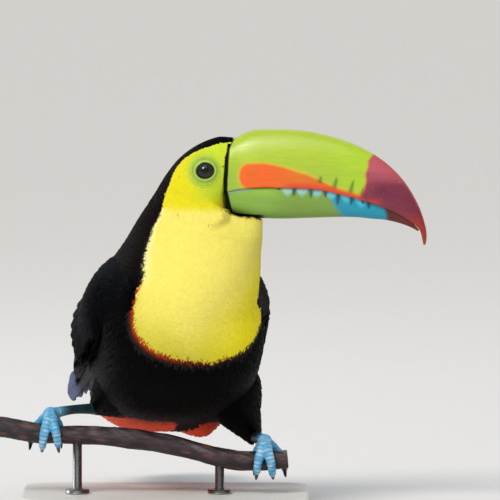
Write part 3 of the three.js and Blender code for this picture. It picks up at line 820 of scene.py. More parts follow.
# ---------------------------------------------------------------- markings
class Markings:
    """Colours of the plumage, the same for the skin and for every feather."""

    # The bib's pale top, darker low part and deeper right side are painted light and painted shade; its rim is
    # its own paler edge.
    bib_pale, bib_deep, bib_low, bib_rim = (linear(c) for c in ("F4E66C", "FBEA12", "CDC43C", "F8F3B4"))
    face, face_lime, face_green = linear("E6DA1C"), linear("CCDF34"), linear("A8CC3A")
    # The bluish tint mixed into the black plumage is a painted blue sheen.
    black, maroon, blue_black = linear("040304"), linear("140A09"), linear("06080D")
    band_dark, band_red = linear("3A0C08"), linear("AC3C0E")
    vent_red, vent_dark, rump_white = linear("FA5226"), linear("4A0E08"), linear("F4F1E8")
    # station, and how many degrees from the throat's midline yellow reaches there
    bib_edge = (
        (6.82, 0), (6.86, 8), (6.92, 18), (6.99, 28), (7.08, 37), (7.2, 44), (7.36, 52), (7.6, 57.5),
        (7.82, 62), (8.17, 69), (8.54, 77), (8.86, 89), (9.2, 102), (9.64, 113), (10.2, 124), (10.89, 132),
        (11.88, 135), (12.9, 138), (13.28, 143), (13.62, 148), (14.35, 152), (14.92, 150), (15.69, 146),
        (16.32, 148), (17, 151),
    )  # fmt: skip
    degrees_per_station = 12  # about as far round the breast as one station is along it

    def dark(self, u: Array, v: Array, points: Array, sheen: Array) -> Array:
        """Colour of the thighs and wings: black, with a share of painted blue sheen."""
        return blend(self.black, self.blue_black, sheen + 0 * u)

    def yellow_margin(self, u: Array, v: Array) -> Array:
        """How many stations a place lies inside the yellow of face and bib; below 0 it is outside.

        It is the distance to the nearest stretch of the border, drawn flat with degrees and stations
        as its two sides; on the breast the border's middle lies 4 degrees to the left.
        """
        station = (1 - u) * LAST_STATION
        around = np.abs(np.degrees(np.arctan2(np.sin(v), np.cos(v))) - 4 * smooth(11, 8.5, station))
        knots = np.array(self.bib_edge) / (1, self.degrees_per_station)
        here = vectors(station, around / self.degrees_per_station)[..., None, :]
        start, run = knots[:-1], np.diff(knots, axis=0)
        share = np.clip(((here - start) * run).sum(-1) / (run**2).sum(-1), 0, 1)
        off = np.linalg.norm(here - start - share[..., None] * run, axis=-1).min(-1)
        return np.where(around < np.interp(station, *np.array(self.bib_edge).T), off, -off)

    def kind(self, u: Array, v: Array, jitter: Array | float = 0.0) -> Array:
        """Name the tract at a place on the trunk form. The red under the tail has a dark notch.

        Args:
            u: Places along the form.
            v: Angles round it.
            jitter: A small random value for each place, which frays the edges.

        Returns:
            0 black, 1 yellow, 2 the red band, 3 red under the tail, 4 white above it.
        """
        around = np.degrees(np.abs(np.arctan2(np.sin(v), np.cos(v))))
        station = (1 - u) * LAST_STATION + jitter
        margin = self.yellow_margin(u, v) + jitter
        tract = np.where(margin > 0, 1, np.where(margin > -self.band(v), 2, 0))
        notch = 2.4 * np.exp(-(((np.degrees(v) - 8) / 4.5) ** 2))
        red = station < 4.35 - notch - 0.6 * smooth(25, 60, around)
        tract = np.where(red & (around < 58 + 25 * smooth(2.4, 0.6, station)), 3, tract)
        return np.where((station < 2.3) & (around > 118 - 35 * smooth(1.2, 0.3, station)), 4, tract)

    def band(self, v: Array) -> Array:
        """Width in stations of the red band below the bib: widest on the right, gone on the far left."""
        low = 0.07 * smooth(0.95, 0.4, np.sin(v)) + 0.14 * smooth(0.1, -0.85, np.sin(v))
        return low * smooth(75, 62, np.degrees(np.abs(np.arctan2(np.sin(v), np.cos(v)))))

    def colour(self, u: Array, v: Array, points: Array, jitter: Array | float = 0.0) -> Array:
        """Colour at places on the trunk form.

        Args:
            u: Places along the form.
            v: Angles round it.
            points: The same places in millimetres.
            jitter: A small random value for each place.

        Returns:
            Linear colours.
        """
        tract = self.kind(u, v, jitter)
        station = (1 - u) * LAST_STATION
        around = np.degrees(np.abs(np.arctan2(np.sin(v), np.cos(v))))
        margin = self.yellow_margin(u, v)
        forward, height = head_forward(points), points[..., 2]
        ahead, above = margins(forward, height)
        eye = np.minimum(*(np.linalg.norm(points - side.eye, axis=-1) for side in Side))
        # Painted light and shade: the bib is paler high up and darker low down as light falls from above, and a
        # deeper yellow on the right, which lies in shade.
        bib = blend(self.bib_low, self.bib_pale, smooth(6.7, 8.6, station + 0.25 * ripple(points, 40, 3)))
        bib = blend(bib, self.bib_deep, smooth(-0.25, 0.6, np.sin(v)) * smooth(12.4, 11, station) * 0.9)
        rim = smooth(0.3, 0.0, margin) * smooth(12.5, 11, station) * smooth(8.2, 9.2, station)
        bib = blend(bib, self.bib_rim, rim * 0.7)
        face = blend(self.face, self.face_lime, smooth(-9, 10, forward) * smooth(204, 212, height))
        # The green round the eye is the skin's own colour; fading it towards the bill is also painted light,
        # which lightens the shaded face there.
        face = blend(face, self.face_green, smooth(16, 9.5, eye) * smooth(20, 8, forward) * 0.7)
        high = smooth(198.5, 204, height + 0.8 * ripple(points, 12, 8))
        bib = blend(bib, face, high * smooth(10.5, 11.5, station))
        gloss = smooth(60, 130, around) * smooth(4, 8, station)
        dark = blend(self.black, self.maroon, gloss * smooth(16.6, 13, station) * 0.9)
        red = blend(self.band_dark, self.band_red, smooth(-0.2, -0.02, margin) * smooth(0.6, -0.6, np.sin(v)))
        vent = blend(self.vent_red, self.vent_dark, smooth(3.6, 4.35, station) * 0.5)
        chosen = np.stack([dark, bib, red, vent, np.broadcast_to(self.rump_white, bib.shape)])
        chosen = np.take_along_axis(chosen, tract[None, ..., None], 0)[0]
        return blend(chosen, self.black, smooth(-0.6, 0.0, ahead) * smooth(0.2, 0.8, above) * (station > 11))


# ---------------------------------------------------------------- coat
@dataclass
class Tract:
    """Roots of many feathers on one form, with the size of each and a small number of its own."""

    form: Surface
    u: Array
    v: Array
    length: Array
    width: Array
    chance: Array
    paint: Callable[[Array, Array, Array, Array], Array]  # colour from u, v, place and chance
    corner: Array  # where this form's unwrap starts in the bake map
    span: Array  # and how large it is there

    def __getitem__(self, keep: Array) -> "Tract":
        """The same tract with only the feathers that keep names."""
        kept = (values[keep] for values in (self.u, self.v, self.length, self.width, self.chance))
        return Tract(self.form, *kept, self.paint, self.corner, self.span)


@dataclass
class Sower:
    """Spreads feather roots evenly over part of a form, closer where feathers are smaller."""

    form: Surface
    u_range: Pair
    v_range: Pair
    golden = (0.7548776662466927, 0.5698402909980532)  # the plastic number's steps, which never clump

    def sow(self, spacing: Callable[[Array, Array], Array], share: float = 1.0) -> tuple[Array, Array]:
        """Place roots so that each has about spacing squared of the form to itself.

        The places are an evenly spread sequence in the unit square, carried onto the form by the
        running sum of its area divided by spacing squared.

        Args:
            spacing: Gives the distance between roots in millimetres at u and v.

        Returns:
            The roots' u and v.
        """
        u_edges = np.linspace(*self.u_range, 161)
        v_edges = np.linspace(*self.v_range, 121)
        u, v = np.meshgrid((u_edges[1:] + u_edges[:-1]) / 2, (v_edges[1:] + v_edges[:-1]) / 2, indexing="ij")
        along, around, _ = self.form.axes(u, v)
        cell = (u_edges[1] - u_edges[0]) * (v_edges[1] - v_edges[0])
        crowd = np.linalg.norm(np.cross(along, around), axis=-1) * cell / spacing(u, v) ** 2
        count = int(crowd.sum() * share)
        order = np.arange(1, count + 1)
        a, b = (np.mod(order * step, 1) for step in self.golden)
        rows = np.concatenate([[0], np.cumsum(crowd.sum(1))]) / crowd.sum()
        found_u = np.interp(a, rows, u_edges)
        row = np.clip(np.searchsorted(u_edges, found_u) - 1, 0, len(u) - 1)
        columns = np.concatenate([np.zeros((len(u), 1)), np.cumsum(crowd, 1)], 1)
        columns /= columns[:, -1:]
        shifted = (columns + np.arange(len(u))[:, None]).ravel()
        flat = np.interp(b * (1 - 1e-9) + row, shifted, np.tile(v_edges, len(u)))
        return found_u, flat


@dataclass
class VaneShape:
    """Outline of one small feather."""

    rows: int = 4
    columns: int = 5
    root_depth: float = 0.13  # of its length, below the coat's outline
    tip_rise: float = 0.015  # of its length, above the outline
    fray: float = 0.22  # how far the barb clumps at the tip differ, of its length
    cup: float = 0.22  # how far the edges bend down, of its width
    softness: float = 0.7  # how much the form's own normal rules the shading
    base_width: float = 0.45
    tip_width: float = 0.3
    uneven: float = 0.05  # how much the tone of one feather differs from the next

    def grow(self, tract: Tract, seed: int) -> Patch:
        """Grow every feather of a tract.

        Each vane's middle line follows the form from its root along the lie, rising from under the
        outline to just over it. Its width swells like a leaf, its edges bend down, and its last row
        is drawn out unevenly into clumps of barbs. Feathers that would fold over at a sharp bend are
        left out.

        Args:
            tract: The roots and sizes.
            seed: Which random draws.

        Returns:
            One patch that holds all of them.
        """
        draw = np.random.default_rng(seed)
        count = len(tract.u)
        t = np.linspace(0, 1, self.rows)[None, :, None]
        c = np.linspace(-1, 1, self.columns)[None, None, :]
        each = (count, 1, 1)
        length, width = (x.reshape(each) * draw.uniform(0.82, 1.18, each) for x in (tract.length, tract.width))
        axes = tract.form.axes(tract.u, tract.v)[:2]
        along, around = (np.linalg.norm(d, axis=-1).reshape(each) for d in axes)
        skew = draw.normal(0, 0.13, each)
        u = (tract.u.reshape(each) + t * length / along)[..., 0]
        v = (tract.v.reshape(each) + t * skew * length / np.maximum(around, 4))[..., 0]
        middle = tract.form.at(u, v)
        forward, _, normal = tract.form.axes(u, v)
        forward = unit(forward)
        across = unit(np.cross(normal, forward))
        swell = self.base_width + (1 - self.base_width) * np.sin(np.pi * np.minimum(t / 1.3, 1)) ** 0.8
        swell = np.where(t > 0.99, self.tip_width, swell)
        rise = -self.root_depth + (self.root_depth + self.tip_rise) * t**0.7
        lift = length * rise * draw.uniform(0.75, 1.25, each)
        lift = lift - self.cup * width * c * c * (0.4 + 0.6 * t)
        fray = draw.uniform(-0.7, 0.6, (count, 1, self.columns)) * self.fray * length * (t > 0.99)
        fray = fray - 0.48 / (self.rows - 1) * length * c * c * (t > 0.99)
        points = (
            middle[:, :, None]
            + across[:, :, None] * (c * swell * width / 2)[..., None]
            + normal[:, :, None] * lift[..., None]
            + forward[:, :, None] * fray[..., None]
        )
        crossed = np.cross(points[:, 1:, 1:] - points[:, :-1, :-1], points[:, 1:, :-1] - points[:, :-1, 1:])
        faced = (unit(crossed) * normal[:, :-1, None]).sum(-1)
        kept = (faced * np.sign(np.median(faced)) > 0.1).all((1, 2))
        own = unit(np.cross(np.gradient(points, axis=1), np.gradient(points, axis=2)))
        own = own * np.sign((own * normal[:, :, None]).sum(-1, keepdims=True) + 1e-9)
        faces = grid_faces(self.rows, self.columns, False)[:, ::-1]
        faces = (faces[None] + (np.arange(kept.sum()) * self.rows * self.columns)[:, None, None]).reshape(-1, 4)
        shade = unit(own * (1 - self.softness) + normal[:, :, None] * self.softness)
        tone = draw.normal(1, self.uneven, (count, 1, 1, 1)) * (1 - 2 * self.uneven * (1 - t[..., None]))
        colour = tract.paint(u, v, middle, tract.chance[:, None])[:, :, None] * tone
        colour = np.broadcast_to(colour, points.shape)
        turned = np.mod(tract.v + np.pi, 2 * np.pi) / (2 * np.pi)
        at = tract.corner + tract.span * vectors(turned, np.clip(tract.u, 0, 1))
        bake = at[:, None, None] + BAKE_SIZE * vectors(c * 0.5, t - 0.5)
        detail = vectors(c * swell * width / 2, t * length)
        made = (values[kept].reshape(-1, values.shape[-1]) for values in (points, colour, bake, detail, shade))
        points, *rest = made
        return Patch(points, faces, *rest)


def buried(points: Array, form: Surface, margin: float, rows: int = 70, columns: int = 56) -> Array:
    """Tell which points lie deeper than margin millimetres inside a form.

    Args:
        points: Places in millimetres.
        form: The closed form.
        margin: How deep a point has to be.
        rows: Samples along the form.
        columns: Samples round it.

    Returns:
        True for each point inside.
    """
    u, v = lattice(rows, columns)
    samples = form.at(u, v).reshape(-1, 3)
    normals = form.axes(u, v)[2].reshape(-1, 3)
    found = nearest(points, samples)
    return ((points - samples[found]) * normals[found]).sum(-1) < -margin


@dataclass
class Quill:
    """One large feather: a closed thin vane with a raised shaft, its tip rounded and its edges nicked."""

    root: Array
    tip: Array
    face: Array
    width: float
    colour: Array
    place: Pair  # the root's place in the bake map
    seed: int
    bow: float = 2.0
    round_from: float = 0.8
    worn: float = 0.0  # how much of a painted grey-blue sheen lies over its end
    rows: int = 30
    across: tuple[float, ...] = (-1, -0.75, -0.42, -0.13, -0.05, 0, 0.05, 0.13, 0.42, 0.75, 1)

    def patch(self) -> Patch:
        """Build the vane.

        The half width swells over the first half and closes as a circle at the tip; at a few places
        on each edge the barbs part in a narrow notch. Both faces are a little crowned, a narrow ridge
        along the middle is the shaft, and the whole bows away from its face.
        """
        draw = np.random.default_rng(self.seed)
        t = (1 - (1 - np.linspace(0, 1, self.rows)) ** 1.35)[:, None]
        half = self.width / 2 * (0.45 + 0.55 * np.sin(np.minimum(t / 0.4, 1) * np.pi / 2))
        late = np.clip((t - self.round_from) / (1 - self.round_from), 0, 1)
        half = half * np.sqrt(np.clip(1 - late**2, 0.0004, 1))
        c = np.array(self.across)
        both = np.concatenate([c, c[-2:0:-1]])[None]
        upper = np.concatenate([np.ones(len(c)), -np.ones(len(c) - 2)])[None]
        nick = np.zeros((self.rows, both.shape[1]))
        for _ in range(5):
            place, edge, deep = draw.uniform(0.3, 0.97), draw.choice([-1, 1]), draw.uniform(0.05, 0.22)
            nick += deep * np.exp(-(((t - place) / 0.018) ** 2)) * (both * edge > 0.7)
        reach = both * half * (1 - nick)
        thick = 0.07 + 0.16 * (1 - np.abs(both)) + 0.3 * bell(0, 0.55, both * half) * (1 - 0.8 * t)
        along = self.tip - self.root
        length = np.linalg.norm(along)
        forward = along / length
        side = unit(np.cross(self.face, forward))
        out = np.cross(forward, side)
        lift = upper * thick - self.bow * t * t - 0.1 * np.abs(both) * half
        points = (
            self.root
            + forward * (t * length)[..., None]
            + side * reach[..., None]
            + out * lift[..., None]
        )
        shade = (0.86 + 0.14 * np.abs(both)) * (0.94 + 0.12 * t) * (1 - 0.25 * bell(0, 0.5, both * half))
        # Painted sheen: the end of the vane turns grey-blue, as where light catches it.
        colour = blend(self.colour, linear("525D86"), self.worn * smooth(0.5, 0.85, t)) * shade[..., None]
        detail = vectors(reach, t * length)
        bake = np.array(self.place) + BAKE_SIZE * vectors(both * 0.5, t - 0.5)
        return tube(points, colour, detail=detail, bake=bake)


# ---------------------------------------------------------------- the bird
@dataclass
class Forms:
    """Every feathered form of the bird, with its place in the bake map."""

    trunk: TrunkForm = field(default_factory=TrunkForm)
    thighs: dict[Side, ThighForm] = field(default_factory=lambda: {s: ThighForm(s) for s in Side})
    wings: dict[Side, WingForm] = field(default_factory=lambda: {s: WingForm(s) for s in Side})
    trunk_map: tuple[Pair, Pair] = ((0.006, 0.006), (0.985, 0.6))
    # length of the feathers in millimetres, by station of the trunk from vent to bill
    lengths: tuple[Pair, ...] = (
        (0, 28), (1.5, 22), (3, 17), (5, 12), (7, 9), (9, 7.2), (11, 6), (13, 4.6), (15, 3.6), (17, 3.0),
    )  # fmt: skip

    def trunk_length(self, u: Array, v: Array) -> Array:
        """Length of a feather of the trunk: shorter towards the bill, a little longer on the back."""
        stations, sizes = np.array(self.lengths).T
        return np.interp((1 - u) * LAST_STATION, stations, sizes) * (1.05 - 0.12 * np.cos(v))

    def trunk_depth(self, u: Array, v: Array) -> Array:
        """How deep the skin lies under the coat's outline."""
        return 0.12 * self.trunk_length(u, v) + 0.5

    def thigh_map(self, side: Side) -> tuple[Pair, Pair]:
        """Corner and span of a thigh's unwrap in the bake map."""
        return (0.006 if side is Side.RIGHT else 0.256, 0.625), (0.24, 0.365)

    def wing_map(self, side: Side) -> tuple[Pair, Pair]:
        """Corner and span of a wing's unwrap in the bake map."""
        return (0.506 if side is Side.RIGHT else 0.756, 0.625), (0.235, 0.365)


@dataclass
class EyeSocket:
    """Where one eye sits: a flat frame on the side of the head, and the way between it and the head's form."""

    side: Side
    form: TrunkForm
    bare: float = 10.6  # mm of bare skin round the eye's middle

    def __post_init__(self) -> None:
        """Find the eye's middle, and the point of the head straight outside it."""
        self.centre = self.side.eye
        turn = self.side.sign * np.radians(np.linspace(50, 150, 201))
        u, v = np.meshgrid(np.linspace(0, 0.35, 141), turn, indexing="ij")
        shell = self.form.at(u, v)
        normal = self.form.axes(u, v)[2]
        off = np.linalg.norm(np.cross(shell - self.centre, normal), axis=-1)
        i = np.unravel_index(off.argmin(), off.shape)
        self.u, self.v = u[i], v[i]
        self.normal = unit(normal[i] * (1, 1, 0.45))
        along = placed((0, -PERCH_Y), HEAD_YAW, -1.0, 0.0, -0.12)
        self.back = unit(along - self.normal * (along @ self.normal))
        self.low = np.cross(self.back, self.normal) * self.side.sign

    def distance(self, points: Array) -> Array:
        """How far points are from the eye's axis, in millimetres; far points on the other side count as 99."""
        off = points - self.centre
        high = off @ self.normal
        return np.where(high > -6, np.linalg.norm(off - high[..., None] * self.normal, axis=-1), 99.0)

    def over(self, x: Array, y: Array) -> tuple[Array, Array, Array]:
        """Height of the head's form over the eye's middle, at places in the eye's flat frame.

        Starting from the point straight outside the eye, u and v are stepped a few times by what is
        missing in the flat frame, over the form's slopes.

        Args:
            x: Millimetres towards the nape.
            y: Millimetres downwards.

        Returns:
            The height along the axis, and the form's u and v there.
        """
        u, v = np.full(x.shape, self.u), np.full(x.shape, self.v)
        for _ in range(6):
            miss = self.form.at(u, v) - self.centre
            gap_x, gap_y = x - miss @ self.back, y - miss @ self.low
            along, around, _ = self.form.axes(u, v)
            a, b, c, d = along @ self.back, around @ self.back, along @ self.low, around @ self.low
            det = a * d - b * c
            u, v = u + (d * gap_x - b * gap_y) / det, v + (a * gap_y - c * gap_x) / det
        return (self.form.at(u, v) - self.centre) @ self.normal, u, v

    def lids(self, marks: Markings) -> Patch:
        """Bare skin round the eye, with a thick puckered rim that closes onto the ball.

        On circles from the rim outwards the height is the head's form plus a rounded rim at 7 mm, a
        shallow trough outside it, and wrinkles that run round the eye and cross in small folds. The
        innermost circles follow the ball's own surface and end inside it. Outwards the colour turns
        into the plumage's own.
        """
        radius = np.concatenate([np.linspace(5.1, 8.8, 40), np.linspace(8.95, 13.6, 28)])
        r, a = np.meshgrid(radius, circle(168), indexing="ij")
        x, y = r * np.cos(a) * (1 + 0.02 * smooth(9, 6, r)), r * np.sin(a) * (1 - 0.06 * smooth(9, 6, r))
        height, u, v = self.over(x, y)
        ball = np.sqrt(np.clip(EYE_RADIUS**2 - x**2 - y**2, 0, None))
        rim = 0.6 * bell(6.7, 0.6, r) - 0.3 * bell(8.1, 0.6, r)
        waves = np.sin(2 * np.pi * r / 1.35 + 1.1 * np.sin(5 * a))
        folds = 0.1 * np.sin(34 * a + 2.2 * np.sin(3 * a + r)) * smooth(6.4, 7.4, r) * smooth(11.5, 8, r)
        out = height + rim + 0.13 * waves * smooth(7.6, 9, r) + folds
        closing = smooth(6.7, 5.6, r)
        out = out * (1 - closing) + (ball + 0.16 * smooth(5.3, 6.1, r) - 0.25 * smooth(5.6, 5.15, r)) * closing
        out = out - 1.6 * smooth(10.2, 13.4, r)
        points = self.centre + x[..., None] * self.back + y[..., None] * self.low + out[..., None] * self.normal
        tone = layered(
            linear("A9C93C"),
            ("8BAE30", (0.5 + 0.5 * waves) * 0.45),
            ("8BAE30", bell(8.1, 0.5, r) * 0.6),
            ("D6EE8C", bell(6.75, 0.42, r) * 0.6),
            ("1C2010", smooth(6.1, 5.7, r)),
        )
        tone = blend(tone, marks.colour(u, v, points), smooth(8.6, 10.8, r))
        faces = grid_faces(*r.shape, True)
        if np.cross(points[1, 0] - points[0, 0], points[0, 1] - points[0, 0]) @ self.normal > 0:
            faces = faces[:, ::-1].copy()
        return Patch(points.reshape(-1, 3), faces, tone.reshape(-1, 3), finish=1)

    def ball(self) -> Patch:
        """The eyeball: rings round its axis, with pupil, iris and a faint line where the white begins."""
        t, a = np.meshgrid(np.linspace(0.02, np.pi - 0.02, 60), circle(64), indexing="ij")
        reach = EYE_RADIUS * np.sin(t)
        points = (
            self.centre
            + (reach * np.cos(a))[..., None] * self.back
            + (reach * np.sin(a))[..., None] * self.low
            + (EYE_RADIUS * np.cos(t))[..., None] * self.normal
        )
        pupil = np.broadcast_to(linear("040303"), points.shape)
        colour = layered(pupil, ("1C201E", smooth(2.2, 2.9, reach)), ("080908", smooth(4.2, 5.2, reach)))
        return tube(points, colour)


@dataclass
class Limb:
    """A bare limb: a path with a radius at each station, swept as a round section."""

    path: Array
    radii: Sequence[float]
    reference: Triple

    def rings(self, rows: int, columns: int, swell: Array | float = 0.0) -> Array:
        """Sweep a ring along the smooth path, squared to it; swell is added to the radius."""
        t = np.linspace(0, 1, rows)
        line = catmull(self.path, t)
        ahead = unit(np.gradient(line, axis=0))
        across = unit(np.asarray(self.reference) - ahead * (ahead @ np.asarray(self.reference))[:, None])
        other = np.cross(ahead, across)
        radius = catmull(np.asarray(self.radii)[:, None], t) + np.asarray(swell)
        angle = circle(columns)
        out = across[:, None] * np.cos(angle)[None, :, None] + other[:, None] * np.sin(angle)[None, :, None]
        return line[:, None] + out * radius[..., None]


@dataclass
class Leg:
    """Bare part of one leg: tarsus, hub and four toes in two pairs round the branch."""

    side: Side
    perch: "Perch"
    hub_rise: float = 13.4
    toe_radius: float = 3.3
    tarsus_radius: float = 3.3
    toe_angles: tuple[float, ...] = (4, 40, 76, 108, 136)
    # forwards or backwards, reach round the branch, splay along it at each joint
    toes: tuple[tuple[int, float, tuple[float, ...]], ...] = (
        (1, 1.0, (0, 2.2, 4, 5, 5.4)),
        (1, 1.12, (0, -1.8, -3.6, -4.6, -5)),
        (-1, 1.0, (0, -5, -10, -12.5, -13)),
        (-1, 0.8, (0, 3, 5.5, 6.5, 6.8)),
    )
    toe_names = ("inner", "middle", "outer", "hind")

    def __post_init__(self) -> None:
        """Work out the paths of the tarsus and of each toe."""
        self.grip = -76.0 if self.side is Side.RIGHT else 66.0
        middle, self.branch = self.perch.at(self.grip)
        self.hub = np.array([self.grip, 1 + PERCH_Y, middle + self.hub_rise])
        heel = self.side.heel
        knots = np.array([heel, (heel + self.hub) / 2 + (0, 0, 1), self.hub])
        self.shank = Limb(knots, (3.9, 3.1, 3.9), (0, 0, 1))
        self.digits = [self.digit(*toe) for toe in self.toes]

    def digit(self, way: int, reach: float, splay: Sequence[float]) -> Limb:
        """Lay one toe round the branch: each joint at its angle, just outside the bark."""
        joints = []
        for i, (degrees, aside) in enumerate(zip(self.toe_angles, splay)):
            turn = math.radians(degrees * (reach if i else 1)) * way
            out = self.branch + self.toe_radius * 0.86 + 0.9
            far = self.hub_rise + (out - self.hub_rise) * min(i / 1.6, 1)
            x = self.grip - self.side.sign * aside
            joints.append((x, PERCH_Y - far * math.sin(turn), self.perch.at(x)[0] + far * math.cos(turn)))
        return Limb(np.array(joints), self.toe_radius * np.array([1.09, 1, 0.86, 0.72]), (1, 0, 0))

    def solids(self) -> list[Patch]:
        """Closed tubes of the shank, hub and toes, with a pad between each pair of toe joints."""
        made = [tube(self.shank.rings(30, 24))]
        for digit in self.digits:
            t = np.linspace(0, 1, 44)[:, None]
            line = catmull(digit.path, t[:, 0])
            rings = digit.rings(44, 28)
            out = unit(rings - line[:, None])
            under = np.clip((out * self.inward(line)[:, None]).sum(-1), 0, 1)
            pads = 0.5 * np.abs(np.sin(3 * np.pi * t)) - 0.35
            swell = pads * under - 0.28 * (1 - under) * bell(0.5, 0.12, np.mod(3 * t + 0.5, 1))
            rings = rings + out * swell[..., None]
            made.append(tube(np.concatenate([self.cap(rings, 0), rings, self.cap(rings, -1)])))
        angle, turn = np.meshgrid(circle(28), np.linspace(0.05, np.pi - 0.05, 20))
        ball = vectors(np.sin(turn) * np.cos(angle), np.sin(turn) * np.sin(angle), np.cos(turn))
        return [*made, tube(ball * 4.6 + self.hub)]

    def inward(self, points: Array) -> Array:
        """Directions from points to the middle of the branch, square to x."""
        x, y, z = np.moveaxis(points, -1, 0)
        return unit(vectors(0, PERCH_Y - y, self.perch.at(x)[0] - z))

    @staticmethod
    def cap(rings: Array, end: int) -> Array:
        """Two smaller rings that round off one end of a limb."""
        ring, inner = rings[end], rings[1 if end == 0 else -2]
        middle = ring.mean(0)
        away = unit(middle - inner.mean(0))
        size = np.linalg.norm(ring - middle, axis=-1).mean()
        made = [middle + (ring - middle) * k + away * size * h for k, h in ((0.78, 0.5), (0.4, 0.78))]
        return np.array(made[::-1] if end == 0 else made)

    def dress(self, points: Array, normals: Array) -> tuple[Array, Array]:
        """Press the gaps between scutes into the melted skin, and colour it.

        Along each limb, broad plates cross the top, about 2.2 mm long; a narrow groove parts two of
        them. Underneath, fine grains take their place. The plates' tops are painted pale in blotches
        as a painted highlight, palest in the middle of each plate, and the tarsus is painted dark teal
        near the thigh as painted shade under the body.

        Args:
            points: The skin's points.
            normals: Their normals.

        Returns:
            The moved points, and their linear colours.
        """
        lines = np.array([catmull(limb.path, np.linspace(0, 1, 160)) for limb in (self.shank, *self.digits)])
        runs = np.cumsum(np.linalg.norm(np.diff(lines, axis=1, prepend=lines[:, :1]), axis=-1), 1)
        found = nearest(points, lines.reshape(-1, 3))
        run, limb = runs.ravel()[found], found // 160
        out = unit(points - lines.reshape(-1, 3)[found])
        top = smooth(-0.1, 0.45, -(out * self.inward(points)).sum(-1))
        top = np.where(limb == 0, smooth(-0.5, 0.2, out @ unit(np.array([0, -1, 0.9]))), top)
        pitch = np.where(limb == 0, 3.0, 2.3)
        phase = np.mod(run / pitch + 0.3 * limb, 1)
        groove = bell(0.5, 0.1, phase) * top
        grains = 0.5 + 0.5 * ripple(points, 1.1, 21)
        moved = points - normals * (0.26 * groove + 0.1 * grains * (1 - top))[:, None]
        # Painted highlight: the tops of the plates are painted pale blue-white in blotches, as where light
        # falls on them.
        worn = smooth(-0.6, 0.9, ripple(points, 7, 22)) * top
        # Painted shade: the tarsus darkens to teal near the thigh, under the body.
        thigh_end = np.where(limb == 0, smooth(0.92, 0.6, run / run[limb == 0].max()), 0.0)
        colour = layered(
            np.broadcast_to(linear("56AEDC"), points.shape),
            ("C8E4F2", worn * (0.5 + 0.3 * np.cos(2 * np.pi * phase))),
            ("06231C", thigh_end * 0.95),
            ("1D4A68", groove * 0.45),
        )
        return moved, colour

    def claws(self) -> list[Patch]:
        """Horn claws: a section higher than wide, swept along a hook that bends into the branch."""
        made = []
        for digit in self.digits:
            before, end = digit.path[-2:]
            ahead = unit(end - before)
            inward = self.inward(end)
            hook = np.array([(-0.9, 0), (2.1, 0), (5, 0.6), (7.7, 2.3)])
            knots = end + ahead * hook[:, :1] + inward * hook[:, 1:]
            rows, columns = 26, 20
            t = np.linspace(0, 1, rows)
            line = catmull(knots, t)
            along = unit(np.gradient(line, axis=0))
            wide = unit(np.cross(along, inward))
            high = np.cross(wide, along)
            radius = 1.95 * (1 - t) ** 0.62 + 0.12
            s, c = np.sin(circle(columns))[:, None], np.cos(circle(columns))[:, None]
            ring = wide[:, None] * c * 0.78 + high[:, None] * s * (1.12 - 0.25 * (s < 0))
            tone = blend(linear("4A4A50"), linear("141317"), smooth(0.0, 0.75, t))
            colour = np.broadcast_to(tone[:, None], (rows, columns, 3))
            made.append(tube(line[:, None] + ring * radius[:, None, None], colour))
        return made


@dataclass
class Skin:
    """One skin for head, neck, trunk, thighs, wings and feet, under the coat by the coat's depth."""

    forms: Forms
    marks: Markings
    sockets: Sequence[EyeSocket]
    legs: Sequence[Leg]
    cube: float = 1.8
    leg_cube: float = 0.5

    def shapes(self) -> tuple[list[Patch], Array, Array]:
        """Closed inner shapes of every feathered form, with samples of place and colour."""
        u, v = lattice(150, 120)
        trunk = self.forms.trunk
        shell = trunk.at(u, v)
        depth = self.forms.trunk_depth(u, v)
        for socket in self.sockets:
            depth = depth + 4.2 * smooth(14.5, 9, socket.distance(shell))
        places = [shell.reshape(-1, 3)]
        colours = [self.marks.colour(u, v, shell).reshape(-1, 3)]
        made = [tube(trunk.rings(150, 120, depth))]
        for side in Side:
            wing, place = self.forms.wings[side], np.linspace(0, 1, 60)
            thick = catmull(np.array(wing.stations), place)[:, 5]
            sunk = np.minimum(1.9 + 1.5 * smooth(0.5, 0.75, place), 0.36 * thick)
            for rings in (self.forms.thighs[side].rings(40, 40, 1.3), wing.rings(60, 40, sunk[:, None])):
                made.append(tube(rings))
                places.append(rings.reshape(-1, 3))
                colours.append(np.broadcast_to(self.marks.black, places[-1].shape))
        return made, np.concatenate(places), np.concatenate(colours)

    def build(self) -> Object:
        """Melt the shapes into one skin, add the lids and the bare legs, and join them as one piece."""
        shapes, places, colours = self.shapes()
        points, faces = fused("skin_work", shapes, self.cube, 4)
        tint = colours[nearest(points, places)]
        patches = [Patch(points, faces, tint, finish=0)]
        patches += [socket.lids(self.marks) for socket in self.sockets]
        for leg in self.legs:
            points, faces = fused("leg_work", leg.solids(), self.leg_cube, 2)
            points, tint = leg.dress(points, point_normals(points, faces))
            patches.append(Patch(points, faces, tint, finish=2))
        dull = (("Specular IOR Level", 0.05),)
        materials = [
            ScaledSkin("feathered_skin", 1.4, rough=(0.7, 0.7), relief=(0.6, 0.08), shader=dull).material(),
            ScaledSkin("bare_eye_skin", 0.9, rough=(0.5, 0.5), relief=(0.6, 0.07)).material(),
            ScaledSkin("leg_scales", 0.8, rough=(0.36, 0.44), relief=(0.6, 0.05)).material(),
        ]
        parts = [f"{part}_{side.value}" for part in ("wing", "thigh", "tarsus", "foot") for side in Side]
        return piece("skin", patches, materials, "leg_skin", "head", "neck", "trunk", *parts)


